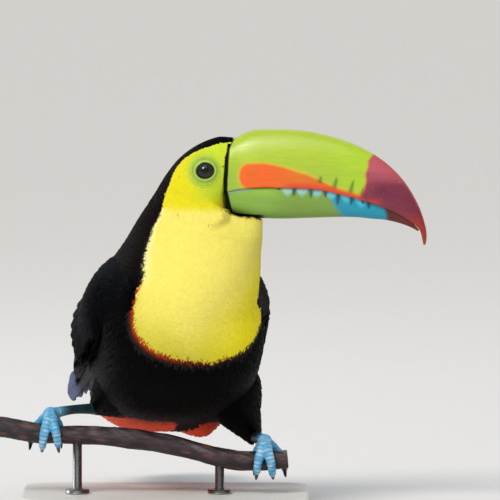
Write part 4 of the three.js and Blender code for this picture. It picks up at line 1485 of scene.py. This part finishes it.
@dataclass
class Coat:
    """Small feathers of head, neck, trunk and thighs."""

    forms: Forms
    marks: Markings
    sockets: Sequence[EyeSocket]
    share: float = 1.0
    closeness: float = 0.225  # distance between roots, as a share of a feather's length
    vane: VaneShape = field(default_factory=VaneShape)
    silk: VaneShape = field(
        default_factory=lambda: VaneShape(
            root_depth=0.09, tip_rise=0.004, fray=0.14, cup=0.1, softness=0.93, tip_width=0.42, uneven=0.02
        )
    )

    def length(self, u: Array, v: Array) -> Array:
        """Length of a trunk feather in millimetres: shorter at the yellow's border, which they draw."""
        border = smooth(0.7, 0.1, np.abs(self.marks.yellow_margin(u, v)))
        return self.forms.trunk_length(u, v) * (1 - 0.45 * border)

    def trunk(self) -> tuple[Tract, Array]:
        """Sow the trunk, leave out roots that something else covers, and name each root's tract of colour."""
        form = self.forms.trunk
        u, v = Sower(form, (-0.016, 1.0), (-np.pi, np.pi)).sow(
            lambda a, b: self.closeness * self.length(a, b) ** 0.9 + 0.12, self.share
        )
        length = self.length(u, v)
        points = form.at(u, v)
        slope = np.linalg.norm(form.axes(u, v)[0], axis=-1)
        tips = form.at(u + length / slope, v)
        keep = u > np.where(np.abs(v) > 2.6, -0.016, 0.002)
        ahead, above = margins(head_forward(points), points[..., 2])
        keep &= ~((ahead > -0.2) & (above > 0.0) & (u < 0.34))
        for socket in self.sockets:
            keep &= (socket.distance(points) > socket.bare) & (socket.distance(tips) > socket.bare - 1.2)
        for side in Side:
            keep &= ~buried(points, self.forms.wings[side], 1.5)
            keep &= ~buried(points, self.forms.thighs[side], 3.0)
        u, v, length = u[keep], v[keep], length[keep]
        draw = np.random.default_rng(SEED)
        fray = draw.normal(0, 0.035, len(u))
        patch = map(np.array, self.forms.trunk_map)
        tract = Tract(form, u, v, length, length * 0.56, fray, self.marks.colour, *patch)
        return tract, self.marks.kind(u, v, fray)

    def thigh(self, side: Side) -> Tract:
        """Sow one thigh, apart from what lies inside the trunk."""
        form = self.forms.thighs[side]
        u, v = Sower(form, (0.02, 0.99), (-np.pi, np.pi)).sow(lambda a, b: 3.3 - 1.0 * a + 0 * b, self.share)
        keep = ~buried(form.at(u, v), self.forms.trunk, 2.0, 110, 90)
        u, v = u[keep], v[keep]
        length = 12.5 - 4.5 * u
        patch = map(np.array, self.forms.thigh_map(side))
        return Tract(form, u, v, length, length * 0.5, 0 * u, self.marks.dark, *patch)

    def build(self) -> list[Object]:
        """Grow the coat's pieces, one for each colour and region."""
        tract, kind = self.trunk()
        station = (1 - tract.u) * LAST_STATION
        around = np.degrees(np.abs(tract.v))
        yellow = plumage("yellow_contour_feathers", 0.62, 0.1, 0.02, "FFF6B0")
        black = plumage("black_contour_feathers", 0.45, 0.035, 0.12)
        red = plumage("red_tail_coverts", 0.6, 0.2, 0.1, "FF9A70")
        white = plumage("white_rump_feathers", 0.65, 0.3, 0.04, "FFFFFF")
        regions = (
            ("coat_face", (kind == 1) & (station >= 12.2), yellow, "plumage_yellow", ("head",)),
            ("coat_bib", (kind == 1) & (station < 12.2), yellow, "plumage_yellow", ("neck", "trunk")),
            ("coat_crown", (kind == 0) & (station >= 9.5), black, "plumage_black", ("head", "neck")),
            ("coat_back", (kind == 0) & (station < 9.5) & (around > 95), black, "plumage_black", ("trunk",)),
            ("coat_belly", (kind == 0) & (station < 9.5) & (around <= 95), black, "plumage_black", ("trunk",)),
            ("coat_breast_band", kind == 2, red, "plumage_black", ("trunk",)),
            ("coat_vent", kind == 3, red, "plumage_black", ("trunk",)),
            ("coat_rump", kind == 4, white, "plumage_black", ("trunk",)),
        )
        made = []
        for number, (name, keep, finish, slot, nodes) in enumerate(regions):
            shape = self.silk if finish is yellow else self.vane
            patch = shape.grow(tract[keep], SEED + number)
            made.append(piece(name, [patch], [finish.material()], slot, *nodes))
        for side in Side:
            patch, node = self.vane.grow(self.thigh(side), SEED + 20), f"thigh_{side.value}"
            made.append(piece(f"coat_{node}", [patch], [black.material()], "plumage_black", node))
        return made


@dataclass
class Wing:
    """Feathers of one folded wing: small coverts, two rows of large coverts and the flight feathers."""

    side: Side
    forms: Forms
    marks: Markings
    share: float = 1.0
    quills: int = 15
    row_coverts: int = 10  # large coverts in each row

    def small_coverts(self) -> Patch:
        """Vanes over the outer face, longer towards the wing's end."""
        form = self.forms.wings[self.side]
        u, v = Sower(form, (0.0, 0.66), (-0.3, np.pi + 0.2)).sow(lambda a, b: 2.5 + 2.2 * a + 0 * b, self.share)
        keep = ~buried(form.at(u, v), self.forms.trunk, 1.0, 110, 90)
        u, v = u[keep], v[keep]
        length = 8.5 + 13 * u
        sheen = 0.5 + 0.5 * ripple(form.at(u, v), 60, 5)
        patch = map(np.array, self.forms.wing_map(self.side))
        tract = Tract(form, u, v, length, length * 0.58, sheen, self.marks.dark, *patch)
        return VaneShape(rows=6, columns=7, fray=0.08, cup=0.08).grow(tract, SEED + 30)

    def place(self, u: float, v: float) -> Pair:
        """Where a root lies in the bake map."""
        corner, span = self.forms.wing_map(self.side)
        return corner[0] + span[0] * (v + np.pi) / (2 * np.pi), corner[1] + span[1] * min(u, 1)

    def large_coverts(self) -> list[Patch]:
        """Two rows of broad feathers that overlap from the top down, each lying on the wing's form."""
        form = self.forms.wings[self.side]
        up = form.section(np.array(0.6))[1]
        made = []
        for row, (start, end, width) in enumerate(((0.34, 0.60, 14), (0.5, 0.84, 16))):
            for k, v in enumerate(np.linspace(0.35, 2.75, self.row_coverts)):
                u, v = np.array([start, (start + end) / 2, end]), np.full(3, v)
                (root, middle, tip), normals = form.at(u, v), form.axes(u, v)[2]
                lift = 0.5 - 0.9 * row
                sag = (middle - (root + tip) / 2) @ normals[1]
                root = root + normals[0] * (lift - 1.0)
                tip = tip + normals[2] * (lift + 0.6) + normals[1] * max(sag, 0) * 0.8
                # each covert carries its own share of painted blue sheen
                colour = blend(self.marks.black, self.marks.blue_black, 0.3 + 0.5 * ((k * 0.37) % 1))
                face, place, seed = unit(normals[1] + up * 0.06), self.place(start, v[0]), SEED + 100 * row + k
                quill = Quill(root, tip, face, width, colour, place, seed, bow=0.8, round_from=0.7, rows=22)
                made.append(quill.patch())
        return made

    def flight(self) -> list[Patch]:
        """Secondaries and primaries: the uppermost is short and lies outermost, the lowest reaches the tip."""
        form = self.forms.wings[self.side]
        end_middle, end_up, end_face, _ = form.section(np.array(1.0))
        tip = placed(TRUNK_AXIS, TRUNK_YAW, form.tip[0], self.side.sign * form.tip[1], form.tip[2])
        inward = placed((0, -PERCH_Y), TRUNK_YAW, 0.0, -self.side.sign, 0.3)
        made = []
        for k, share in enumerate(np.linspace(0, 1, self.quills)):
            u = 0.5 + 0.22 * share
            middle, up, face, row = form.section(np.array(u))
            high = 17 - 27 * share
            root = middle + up * high + face * (row[5] / 2 - high * high / 110 - 2.2 - 12 * share)
            high = 20 - 26 * share
            reach = end_middle + end_up * high + end_face * (0.9 - high * high / 110)
            reach = reach + (tip - reach) * share**0.65 * 0.9 - end_face * 2.4 * share
            reach = reach + inward * 9 * np.sin(np.pi * min((1 - share) / 0.45, 1))
            face = unit(end_face + end_up * 0.1 - (0, 2.6 * smooth(0.35, 0.8, share), 0))
            # each quill carries its own share of painted blue sheen
            colour = blend(self.marks.black, self.marks.blue_black, 0.35 + 0.5 * ((k * 0.61) % 1))
            place = self.place(u, 0.5 + 2.0 * share)
            # the lower quills carry more painted grey-blue sheen at their ends
            quill = Quill(root, reach, face, 25 - 6 * share, colour, place, SEED + 300 + k, worn=0.95 * share)
            made.append(quill.patch())
        return made

    def build(self) -> list[Object]:
        """Make the coverts and the flight feathers as two pieces."""
        small = plumage("black_wing_coverts", 0.45, 0.018, 0.1)
        large = plumage("black_flight_feathers", 0.42, 0.06, 0.06, barbs=0.6)
        node, quills = f"wing_{self.side.value}", f"flight_feathers_{self.side.value}"
        coverts = [self.small_coverts(), *self.large_coverts()]
        return [
            piece(f"coat_{node}", coverts, [small.material()], "plumage_black", node),
            piece(quills, self.flight(), [large.material()], "plumage_black", node),
        ]


@dataclass
class Tail:
    """Ten long tail feathers, in two halves that fan a little and close over each other."""

    marks: Markings
    root: Triple = (-92, -5, 73)
    length: float = 156
    width: float = 27
    pairs: int = 5
    step: float = 4
    fan: float = 1.4

    def build(self) -> Object:
        """Lay each feather under the one nearer the middle."""
        made = []
        for i in (k * s for k in range(1, self.pairs + 1) for s in (1, -1)):
            rank, sign = abs(i) - 0.5, math.copysign(1, i)
            ahead = tail_direction(TAIL_YAW + sign * rank * self.fan)
            across = unit(np.cross(ahead, (0, 0, 1)))
            start = placed(TRUNK_AXIS, TRUNK_YAW, *self.root)
            start = start + (-sign * rank * self.step * 0.55, 0, -1.1 * rank - (0.4 if i < 0 else 0))
            reach = start + ahead * (self.length - 0.75 * rank**2)
            # each tail feather carries its own share of painted blue sheen
            colour = blend(self.marks.black, self.marks.blue_black, 0.3 + 0.1 * rank)
            place = (0.5 + 0.01 * i, 0.6)
            face = np.cross(across, ahead)
            shape = {"bow": 3.0, "round_from": 0.86, "rows": 44}
            quill = Quill(start, reach, face, self.width, colour, place, SEED + 500 + i, **shape)
            made.append(quill.patch())
        finish = plumage("black_tail_feathers", 0.4, 0.06, 0.06, barbs=0.6)
        return piece("tail_feathers", made, [finish.material()], "plumage_black", "tail")


@dataclass
class Bill:
    """The great light bill: two horn sheaths that meet along the gape."""

    # ridge forward/height, cutting edge forward/height, half width
    upper: Rows = (
        (23, 247.5, 18.7, 212.6, 15.6),
        (34, 252.3, 30, 214.9, 15.8),
        (50, 253.3, 46, 216, 15.2),
        (69, 252.3, 64, 216, 14.3),
        (89, 248.2, 81, 214.8, 13.2),
        (107, 241.4, 96, 211.6, 12),
        (123, 231.5, 110, 207.8, 10.5),
        (135.5, 219, 122, 203.5, 8.8),
        (144.5, 204, 133.5, 198, 6.4),
        (149, 191, 142, 192.2, 3.9),
        (150, 183, 145.8, 188, 2.3),
        (149.2, 178, 148, 178.6, 0.7),
    )
    lower: Rows = (
        (20, 197.7, 18.8, 212.1, 14),
        (33, 195.6, 33, 214.7, 14.3),
        (53, 194.8, 53, 215.4, 13.6),
        (73, 195.4, 73, 215, 12.4),
        (89, 196, 89, 213, 11),
        (103, 196, 103, 209.2, 9.5),
        (114, 195, 115, 205.2, 7.9),
        (123, 194.3, 124.5, 201.3, 6.2),
        (131.5, 192.4, 133, 196.9, 4.2),
        (138.5, 190, 139.8, 192.5, 2.3),
        (144.4, 187, 145, 187.8, 0.9),
    )
    # rise, and how far forward the base lies there
    upper_bow: tuple[Pair, ...] = ((0, -0.9), (0.25, -2.1), (0.5, -2.4), (0.81, -2.1), (0.97, -0.3), (1, 0))
    lower_bow: tuple[Pair, ...] = ((0, -1.0), (0.25, -0.2), (0.7, 0.7), (1, 1.3))
    # dark slots along each cutting edge: how far forward, and how long
    upper_slots: tuple[Pair, ...] = ((80.6, 5), (89.9, 9.5), (100.2, 12), (107.3, 9.5))
    lower_slots: tuple[Pair, ...] = (
        (53.8, 1.5), (64, 6), (75.2, 6.5), (84.5, 5), (92.8, 9), (101.5, 6), (108.8, 3), (112.7, 5),
    )  # fmt: skip
    # forward, height of the orange flame's upper border
    flame: tuple[Pair, ...] = (
        (26.6, 226), (30, 231), (43.3, 231.4), (57.2, 228.9), (71.8, 224.7), (81.6, 219.8), (91.1, 215.4),
        (101, 211.8), (112, 207.4),
    )  # fmt: skip
    # height, forward of the crimson tip's border
    tip_edge: tuple[Pair, ...] = (
        (203, 115), (206.4, 112), (209.7, 107), (214, 109.3), (219, 111.2), (223.8, 111.2), (233.5, 112.7),
        (235.9, 114.7), (238, 116),
    )  # fmt: skip

    def sheath(self, table: Rows, bow: Sequence[Pair], rows: int, arc: int, flat: int) -> Sequence[Array]:
        """Lay a half of the bill on a grid.

        Across, the outer arc goes from one cutting edge over the ridge to the other: its rise is the
        sine to the power 0.82, its width a squarish cosine drawn in a little above. A flat strip of
        points then closes it along the gape.

        Args:
            table: Stations of the ridge and the edge.
            bow: Rise, and how far the base lies forward of its first station there.
            rows: Rings from base to tip.
            arc: Points over the outer arc.
            flat: Points across the gape.

        Returns:
            Forward, height, side, rise, millimetres from the base, and 1 on the outer arc.
        """
        row = catmull(np.array(table), 1 - (1 - np.linspace(0, 1, rows)) ** 1.12)[:, None]
        a = np.linspace(0, np.pi, arc)
        rise = np.concatenate([np.sin(a) ** 0.82, np.zeros(flat)])
        reach = np.concatenate([signed_power(np.cos(a), 0.72), np.linspace(-1, 1, flat + 2)[1:-1]])
        side = row[..., 4] * reach * (1 - 0.12 * rise)
        forward = row[..., 2] + (row[..., 0] - row[..., 2]) * rise
        height = row[..., 3] + (row[..., 1] - row[..., 3]) * rise
        base = forward - forward[:1]
        forward = forward + np.interp(rise, *np.array(bow).T) * np.exp(-base / 9)
        side = side * (1 + 0.13 * bell(0, 5, base) * (1 - rise**6))
        outer = (np.arange(arc + flat) < arc).astype(float)
        return np.broadcast_arrays(forward, height, side, rise, base, outer)

    @staticmethod
    def slots(s: Array, above: Array, table: Sequence[Pair], slant: float, wide: float, thin: float) -> Array:
        """Dark wedges that rise from an edge and narrow as they go.

        Args:
            s: How far forward each point lies.
            above: How far it lies from the edge, in millimetres.
            table: Where each wedge starts and how long it is.
            slant: How far a wedge leans forward for each millimetre.
            wide: Its half width at the edge.
            thin: Its half width at the end.

        Returns:
            1 in the middle of a wedge, 0 away from it.
        """
        total = np.zeros(s.shape)
        for place, long in table:
            half = wide + (thin - wide) * np.clip(above / long, 0, 1)
            wedge = bell(0, half, s - place - slant * above) * smooth(1.05, 0.7, above / long)
            total = np.maximum(total, wedge * smooth(-0.6, 0.2, above))
        return total

    @staticmethod
    def closed(points: Array, colour: Array, s: Array, outer: Array, collar: Array) -> Patch:
        """Close a half: green to orange-red where both halves meet, bare black skin in the collar."""
        gape = ramp(s, (48, "7E9A48"), (60, "D8481C"))
        colour = blend(blend(colour, gape, 1 - outer), linear("0A0909"), collar)
        skin = (collar[:-1] > 0.5).ravel().astype(int)
        return tube(points, colour, np.concatenate([skin, np.repeat([1, 0], s.shape[1])]))

    def upper_patch(self) -> Patch:
        """Upper sheath: a low keel along the ridge, slots over the flame, a lip along the edge."""
        s, z, side, rise, base, outer = self.sheath(self.upper, self.upper_bow, 420, 150, 26)
        above = z - np.interp(s, *np.array(self.flame).T)
        slots = self.slots(s, above + 1, self.upper_slots, 0.25, 1.8, 0.5) * outer
        keel = bell(0, 2, side) * smooth(0.8, 1, rise) * smooth(0, 10, base) * smooth(150, 120, s)
        collar = smooth(0.35, -0.35, base - 2.2 + 1.5 * smooth(0.25, 0.95, rise)) * outer
        out = np.sign(side) * (0.3 * collar - 0.22 * bell(0.1, 0.05, rise) * outer - 0.2 * slots)
        closing = 0.55 * smooth(0.08, 0.0, rise) * smooth(44, 56, s)
        points = placed(HEAD_AXIS, HEAD_YAW, s, side + out, z + 0.45 * keel - closing)
        return self.closed(points, self.upper_colour(s, z, rise, above, slots), s, outer, collar)

    def upper_colour(self, s: Array, z: Array, rise: Array, above: Array, slots: Array) -> Array:
        """Green with a painted pale highlight along the ridge, an orange flame along the edge and a crimson
        tip.
        """
        streak = ripple(vectors(s * 0.1, z * 0.55, 0), 6, 41)
        end = np.hypot(np.clip(32.6 - s, 0, None) / 4.8, (z - 223.5) / 7.6 * smooth(40, 31, s))
        colour = layered(
            ramp(z + 1.5 * streak, (224, "A2C13C"), (237, "AEC822"), (248, "AAC42A")),
            ("AED020", smooth(76, 104, s) * (0.75 + 0.2 * streak)),
            # painted highlight: a pale cream streak along the ridge
            ("E6EA9A", smooth(0.97, 0.998, rise) * (0.35 + 0.15 * streak)),
            ("F0B41E", smooth(3.4, 0.0, above) * smooth(1.5, 1.0, end) * smooth(112, 106, s) * 0.5),
        )
        flame = ramp(s + 2 * streak, (50, "EE6616"), (72, "DC7418"), (96, "DC660E"), (110, "D03420"))
        inside = smooth(1.18, 0.8, end) * smooth(114, 111, s)
        colour = blend(colour, flame, smooth(0.9, -0.9, above + 0.35 * streak) * inside)
        cutting = smooth(0.12, 0.03, rise) * smooth(54, 64, s)
        colour = layered(colour, ("3E5E1A", slots * 0.72), ("E0481C", cutting))
        crimson = ((182, "A02A08"), (189, "9C2414"), (203, "76203A"), (214, "7E2C42"), (228, "BC5464"))
        tip = layered(
            ramp(z + 2.2 * streak, *crimson),
            ("6A1A38", bell(122, 9, s) * bell(212, 7, z) * 0.8),
            ("C83C24", bell(115, 6, s) * bell(205, 3.6, z) * 0.85),
            ("C8503C", smooth(0.92, 1.0, rise) * 0.6),
            # painted glints: small pale pink flecks near the tip
            ("E8A090", smooth(0.95, 1.5, ripple(vectors(s, z, 0), 2.6, 44)) * 0.35),
        )
        past = s - np.interp(z, *np.array(self.tip_edge).T) - 0.5 * streak
        colour = blend(colour, tip, smooth(-0.7, 0.7, past))
        return layered(colour, ("C83440", bell(0, 1.4 - 0.5 * smooth(206, 220, z), past) * 0.6))

    def lower_patch(self) -> Patch:
        """Lower sheath: rounded keel, slots down from the edge, colours by place."""
        s, z, side, rise, base, outer = self.sheath(self.lower, self.lower_bow, 380, 130, 26)
        below = rise * np.interp(s, [r[2] for r in self.lower], [r[3] - r[1] for r in self.lower])
        slots = self.slots(s, below, self.lower_slots, -0.1, 1.9, 0.4) * outer
        chin = smooth(0.84, 0.9, rise) * smooth(46, 40, s)
        collar = np.maximum(smooth(0.35, -0.35, base - 2.2), chin) * outer
        out = np.sign(side) * (0.3 * collar - 0.25 * slots)
        points = placed(HEAD_AXIS, HEAD_YAW, s, side + out, z + 0.35 * (1 - rise))
        streak = ripple(vectors(s * 0.1, z * 0.55, 0), 6, 43)
        colour = layered(
            ramp(rise + 0.12 * streak, (0.1, "94C042"), (0.6, "84AE42"), (1, "6E9440")),
            ("7A9E3C", smooth(44, 64, s) * 0.8),
            ("0096B4", smooth(-4, 3.5, s - 86 - 8.7 * rise + streak)),
        )
        scallop = np.abs(np.sin(np.pi * (s - 64) / 9.6))
        edge = smooth(53, 58, s) * smooth(112, 108, s) * smooth(6.5 * scallop + 0.5, 2 * scallop, below)
        colour = blend(colour, ramp(s, (54, "A4DCC8"), (66, "9ADCE0"), (100, "50C8E0")), edge * 0.85)
        colour = layered(colour, ("C4E2EC", smooth(40, 28, s) * smooth(1.7, 0.4, below)))
        tip = ramp(s, (124, "4A1206"), (134, "6A140E"))
        colour = blend(colour, tip, smooth(-2, 2, s - 123.8 + 0.8 * streak))
        return self.closed(points, layered(colour, ("0A3A48", slots * 0.9)), s, outer, collar)

    def build(self) -> list[Object]:
        """Make both halves, each with a strip of bare black skin round its base."""
        dull = (("Specular IOR Level", 0.1),)
        skin = ScaledSkin("bare_black_skin", 0.8, rough=(0.7, 0.7), shader=dull).material()
        return [
            piece(f"{name}_sheath", [patch], [TintedHorn(f"{name}_horn").material(), skin], name, name)
            for name, patch in (("bill_upper", self.upper_patch()), ("bill_lower", self.lower_patch()))
        ]


# ---------------------------------------------------------------- perch and stand
@dataclass
class Perch:
    """A cut length of thin branch: dark bark with low ridges, buds and cork dots, and sawn ends."""

    stations: tuple[Triple, ...] = (
        (-117, 57.5, 6.9), (-100, 54.8, 6.8), (-84, 52.2, 6.4), (-66, 51.2, 6), (-44, 50.4, 6.2),
        (-22, 48.6, 6.7), (-2, 45.6, 6.5), (16, 41.2, 6.2), (34, 36.8, 6.1), (50, 34, 6.7), (66, 33.6, 6.2),
        (81, 35, 6),
    )  # fmt: skip
    rows: int = 460
    columns: int = 100

    def __post_init__(self) -> None:
        """Read the branch's middle line."""
        self.line = catmull(np.array(self.stations), np.linspace(0, 1, 3001))

    def at(self, x: Array | float) -> tuple[Array, Array]:
        """Height of the branch's middle, and its radius, at x."""
        return np.interp(x, self.line[:, 0], self.line[:, 1]), np.interp(x, self.line[:, 0], self.line[:, 2])

    def build(self) -> Object:
        """Sweep an uneven ring along the branch and close it with sawn ends.

        The radius has slow waves round and along, fine lengthwise ridges, and low bumps where leaves
        once grew. Each sawn end is a disc of rings that turn from bark to wood.
        """
        x, z, radius = catmull(np.array(self.stations), np.linspace(0, 1, self.rows)).T[..., None]
        lean = np.arctan(np.gradient(z, axis=0) / np.gradient(x, axis=0))
        a = circle(self.columns)
        r = radius * (1 + 0.035 * np.sin(3 * a + x / 9) + 0.025 * np.sin(x / 5 + 2 * a))
        around = vectors(x * 0.22, r * np.cos(a), r * np.sin(a))
        bark = ripple(around, 3.4, 61) * 0.16 + ripple(around * (4, 1, 1), 2.0, 62) * 0.07
        draw = np.random.default_rng(SEED + 60)
        scars = np.zeros(r.shape)
        for _ in range(9):
            px, pa, size = draw.uniform(-112, 76), draw.uniform(0, 2 * np.pi), draw.uniform(1.6, 3.0)
            turn = np.angle(np.exp(1j * (a - pa)))
            off = np.hypot((x - px) / size, turn * radius / (size * 1.5))
            scars += bell(0, 1, off) * 0.8 - 0.35 * bell(0, 0.35, off)
        grip = sum(np.exp(-(((x - g) / 13) ** 4)) for g in (-76, 66))
        r = r + bark + scars * (1 - np.clip(grip, 0, 1))
        up = r * np.cos(a)
        points = vectors(x - np.sin(lean) * up, r * np.sin(a) + PERCH_Y, z + np.cos(lean) * up)
        upper = smooth(-0.3, 0.8, np.cos(a))
        colour = layered(
            np.broadcast_to(linear("20151A"), points.shape),
            ("38282E", smooth(-0.7, 0.8, ripple(points, 9, 63))),
            ("7A6C72", smooth(0.3, 1.2, ripple(points, 14, 64)) * upper * 0.7),
            ("7A4424", smooth(0.3, 1.2, ripple(points * (0.35, 1, 1), 5, 65)) * 0.6),
        )
        patches = [tube(points, colour)]
        for end in (0, -1):
            patches.append(self.sawn(points[end], points[end] - points[1 if end == 0 else -2]))
        return piece("perch_branch", patches, [Bark().material(), RawWood().material()], "bark", "perch")

    def sawn(self, ring: Array, ahead: Array) -> Patch:
        """A sawn face: rings shrink from inside the bark to the pith, crowned by a hair's breadth."""
        middle = ring.mean(0)
        along = unit(ahead.mean(0))
        share = np.linspace(0.93, 0.02, 22)[:, None, None]
        disc = middle + (ring[None] - middle) * share + along * (0.12 + 0.1 * (1 - share))
        skirt = middle + (ring[None] - middle) * 0.9 - along * 1.5
        rings = np.concatenate([skirt, disc])
        place = np.linalg.norm(rings - middle, axis=-1)
        year = 0.5 + 0.5 * np.sin(place * 2 * np.pi / 0.85)
        colour = layered(linear("C9A679"), ("9A744A", year), ("5A3E2C", smooth(1.0, 0.4, place)))
        return tube(rings, colour, finish=1)


@dataclass
class Stand:
    """Plain display stand: a painted slab with two turned steel rods."""

    perch: Perch
    size: Triple = (190, 136, 12)
    corner: float = 20
    bevel: float = 2
    rods: tuple[tuple[str, float], ...] = (("right", -58), ("left", 36))
    rod_radius: float = 3
    flange_radius: float = 8
    flange_height: float = 3
    depth_in_perch: float = 4

    def slab(self) -> Object:
        """A rounded rectangle carried up a profile with rounded edges.

        Each corner is a quarter circle; the profile is pulled in towards the middle by the edge's
        round at top and bottom.
        """
        quarter = np.linspace(0, np.pi / 2, 24)
        turn = np.concatenate([quarter + k * np.pi / 2 for k in range(4)])
        middle = np.array(self.size[:2]) / 2 - self.corner
        middle = np.repeat([(1, 1), (-1, 1), (-1, -1), (1, -1)], 24, axis=0) * middle
        edge, top = np.linspace(0, np.pi / 2, 9), self.size[2]
        late, early = self.bevel * (1 - np.sin(edge)), self.bevel * (1 - np.cos(edge))
        rim = self.bevel + 0.6
        out = self.corner - np.concatenate([[rim], late, early, [rim]])[:, None]
        high = np.concatenate([[0], early, top - late, [top]])[:, None]
        points = vectors(middle[:, 0] + out * np.cos(turn), middle[:, 1] + out * np.sin(turn), high)
        return piece("stand_slab", [tube(points)], [PaintedWood().material()], "stand_wood", "stand_base")

    def rod(self, name: str, x: float, steel: Material) -> Object:
        """Turn a rod with a flange round its upright axis; every edge has a small chamfer."""
        middle, radius = self.perch.at(x)
        top = float(middle - radius + self.depth_in_perch)
        foot, wide, thin = self.size[2] + 0.3, self.flange_radius, self.rod_radius
        rim = foot + self.flange_height
        profile = [
            (wide - 0.6, foot), (wide, foot + 0.5), (wide, rim - 0.9), (wide - 0.3, rim - 0.35),
            (wide - 0.9, rim), (thin + 1.2, rim), (thin + 0.35, rim + 0.3), (thin, rim + 1.1),
            (thin, top - 0.3), (thin - 0.3, top),
        ]  # fmt: skip
        out, high = np.repeat(np.array(profile), 2, axis=0)[1:-1].T[..., None]
        turn = circle(64)
        points = vectors(x + out * np.cos(turn), PERCH_Y + out * np.sin(turn), high)
        return piece(f"stand_post_{name}", [tube(points)], [steel], "stand_steel", f"stand_rod_{name}")

    def build(self) -> list[Object]:
        """Make the slab and both rods."""
        steel = BrushedSteel().material()
        return [self.slab(), *(self.rod(name, x, steel) for name, x in self.rods)]


# ---------------------------------------------------------------- studio
@dataclass
class Studio:
    """Pale paper, soft lights and the camera."""

    target: Triple = (56.1, -18, 173.4)
    distance: float = 5000
    elevation: float = 3.3
    lens: float = 545.45
    # name, kind, place in metres, size in metres or radians, watts or strength, colour
    lights: tuple[tuple[str, str, Triple, float, float, str], ...] = (
        ("key_sun", "SUN", (-0.9, -1.75, 1.85), 0.35, 1.7, "FFF8EE"),
        ("sky_softbox", "AREA", (-0.2, -1.6, 2.4), 1.8, 16, "E8F0FF"),
        ("rim_light", "AREA", (-1.4, 1.2, 1.5), 0.9, 9, "EAF2FF"),
    )

    def build(self) -> None:
        """Lay the floor, hang the lights, and place the camera."""
        turn = circle(96)
        reach = np.array([0.5, 2, 8, 40])[:, None] * 1000
        disc = vectors(reach * np.cos(turn), reach * np.sin(turn), 0.0).reshape(-1, 3)
        middle = vectors(np.arange(96), np.roll(np.arange(96), -1), len(disc), -1)
        faces = np.concatenate([grid_faces(len(reach), 96, True)[:, ::-1], middle])
        floor = Patch(np.concatenate([disc, np.zeros((1, 3))]), faces)
        make_mesh("studio_floor", [floor], [StudioPaper().material()])
        for name, kind, place, size, power, colour in self.lights:
            data = bpy.data.lights.new(name, kind)
            data.energy, data.color = power, tuple(linear(colour))
            if kind == "SUN":
                data.angle = size
            else:
                data.shape, data.size = "DISK", size
            lamp = bpy.data.objects.new(name, data)
            bpy.context.scene.collection.objects.link(lamp)
            away = unit(np.array(place) - np.array(self.target) * MM)
            lamp.location = place
            lamp.rotation_euler = (math.acos(away[2]), 0, math.atan2(away[1], away[0]) + math.pi / 2)
        world = bpy.data.worlds.new("studio_air")
        world.use_nodes = True
        air = world.node_tree.nodes["Background"].inputs
        air["Color"].default_value, air["Strength"].default_value = (*linear("F1F3F6"), 1), 0.5
        bpy.context.scene.world = world
        bpy.context.scene.view_settings.view_transform = "Standard"  # keeps strong yellows and reds as they are
        tilt = math.radians(self.elevation)
        data = bpy.data.cameras.new("camera")
        data.lens, data.sensor_width, data.clip_end = self.lens, 36, 200
        camera = bpy.data.objects.new("camera", data)
        bpy.context.scene.collection.objects.link(camera)
        away = np.array([0, -math.cos(tilt), math.sin(tilt)]) * self.distance
        camera.location = (np.array(self.target) + away) * MM
        camera.rotation_euler = (math.pi / 2 - tilt, 0, 0)
        bpy.context.scene.camera = camera


def main() -> None:
    """Build every sub-assembly in order and log each piece."""
    logging.basicConfig(level=logging.INFO, format="%(message)s")
    share = 1.0
    forms, marks, perch = Forms(), Markings(), Perch()
    sockets = [EyeSocket(side, forms.trunk) for side in Side]
    legs = [Leg(side, perch) for side in Side]
    pieces = [Skin(forms, marks, sockets, legs).build()]
    pieces += Coat(forms, marks, sockets, share).build()
    for side in Side:
        pieces += Wing(side, forms, marks, share).build()
    pieces.append(Tail(marks).build())
    pieces += Bill().build()
    claw_horn = TintedHorn("claw_horn", 0.6).material()
    for socket, leg in zip(sockets, legs):
        side = leg.side.value
        pieces.append(piece(f"eyeball_{side}", [socket.ball()], [WetEye().material()], "eye", f"eye_{side}"))
        claws = [f"claw_{side}_{toe}" for toe in leg.toe_names]
        pieces.append(piece(f"claws_{side}", leg.claws(), [claw_horn], "claw", *claws))
    pieces.append(perch.build())
    pieces += Stand(perch).build()
    Studio().build()
    for made in pieces:
        triangles = len(made.data.loops) - 2 * len(made.data.polygons)
        log.info("%s: %d triangles", made.name, triangles)


if __name__ == "__main__":
    main()
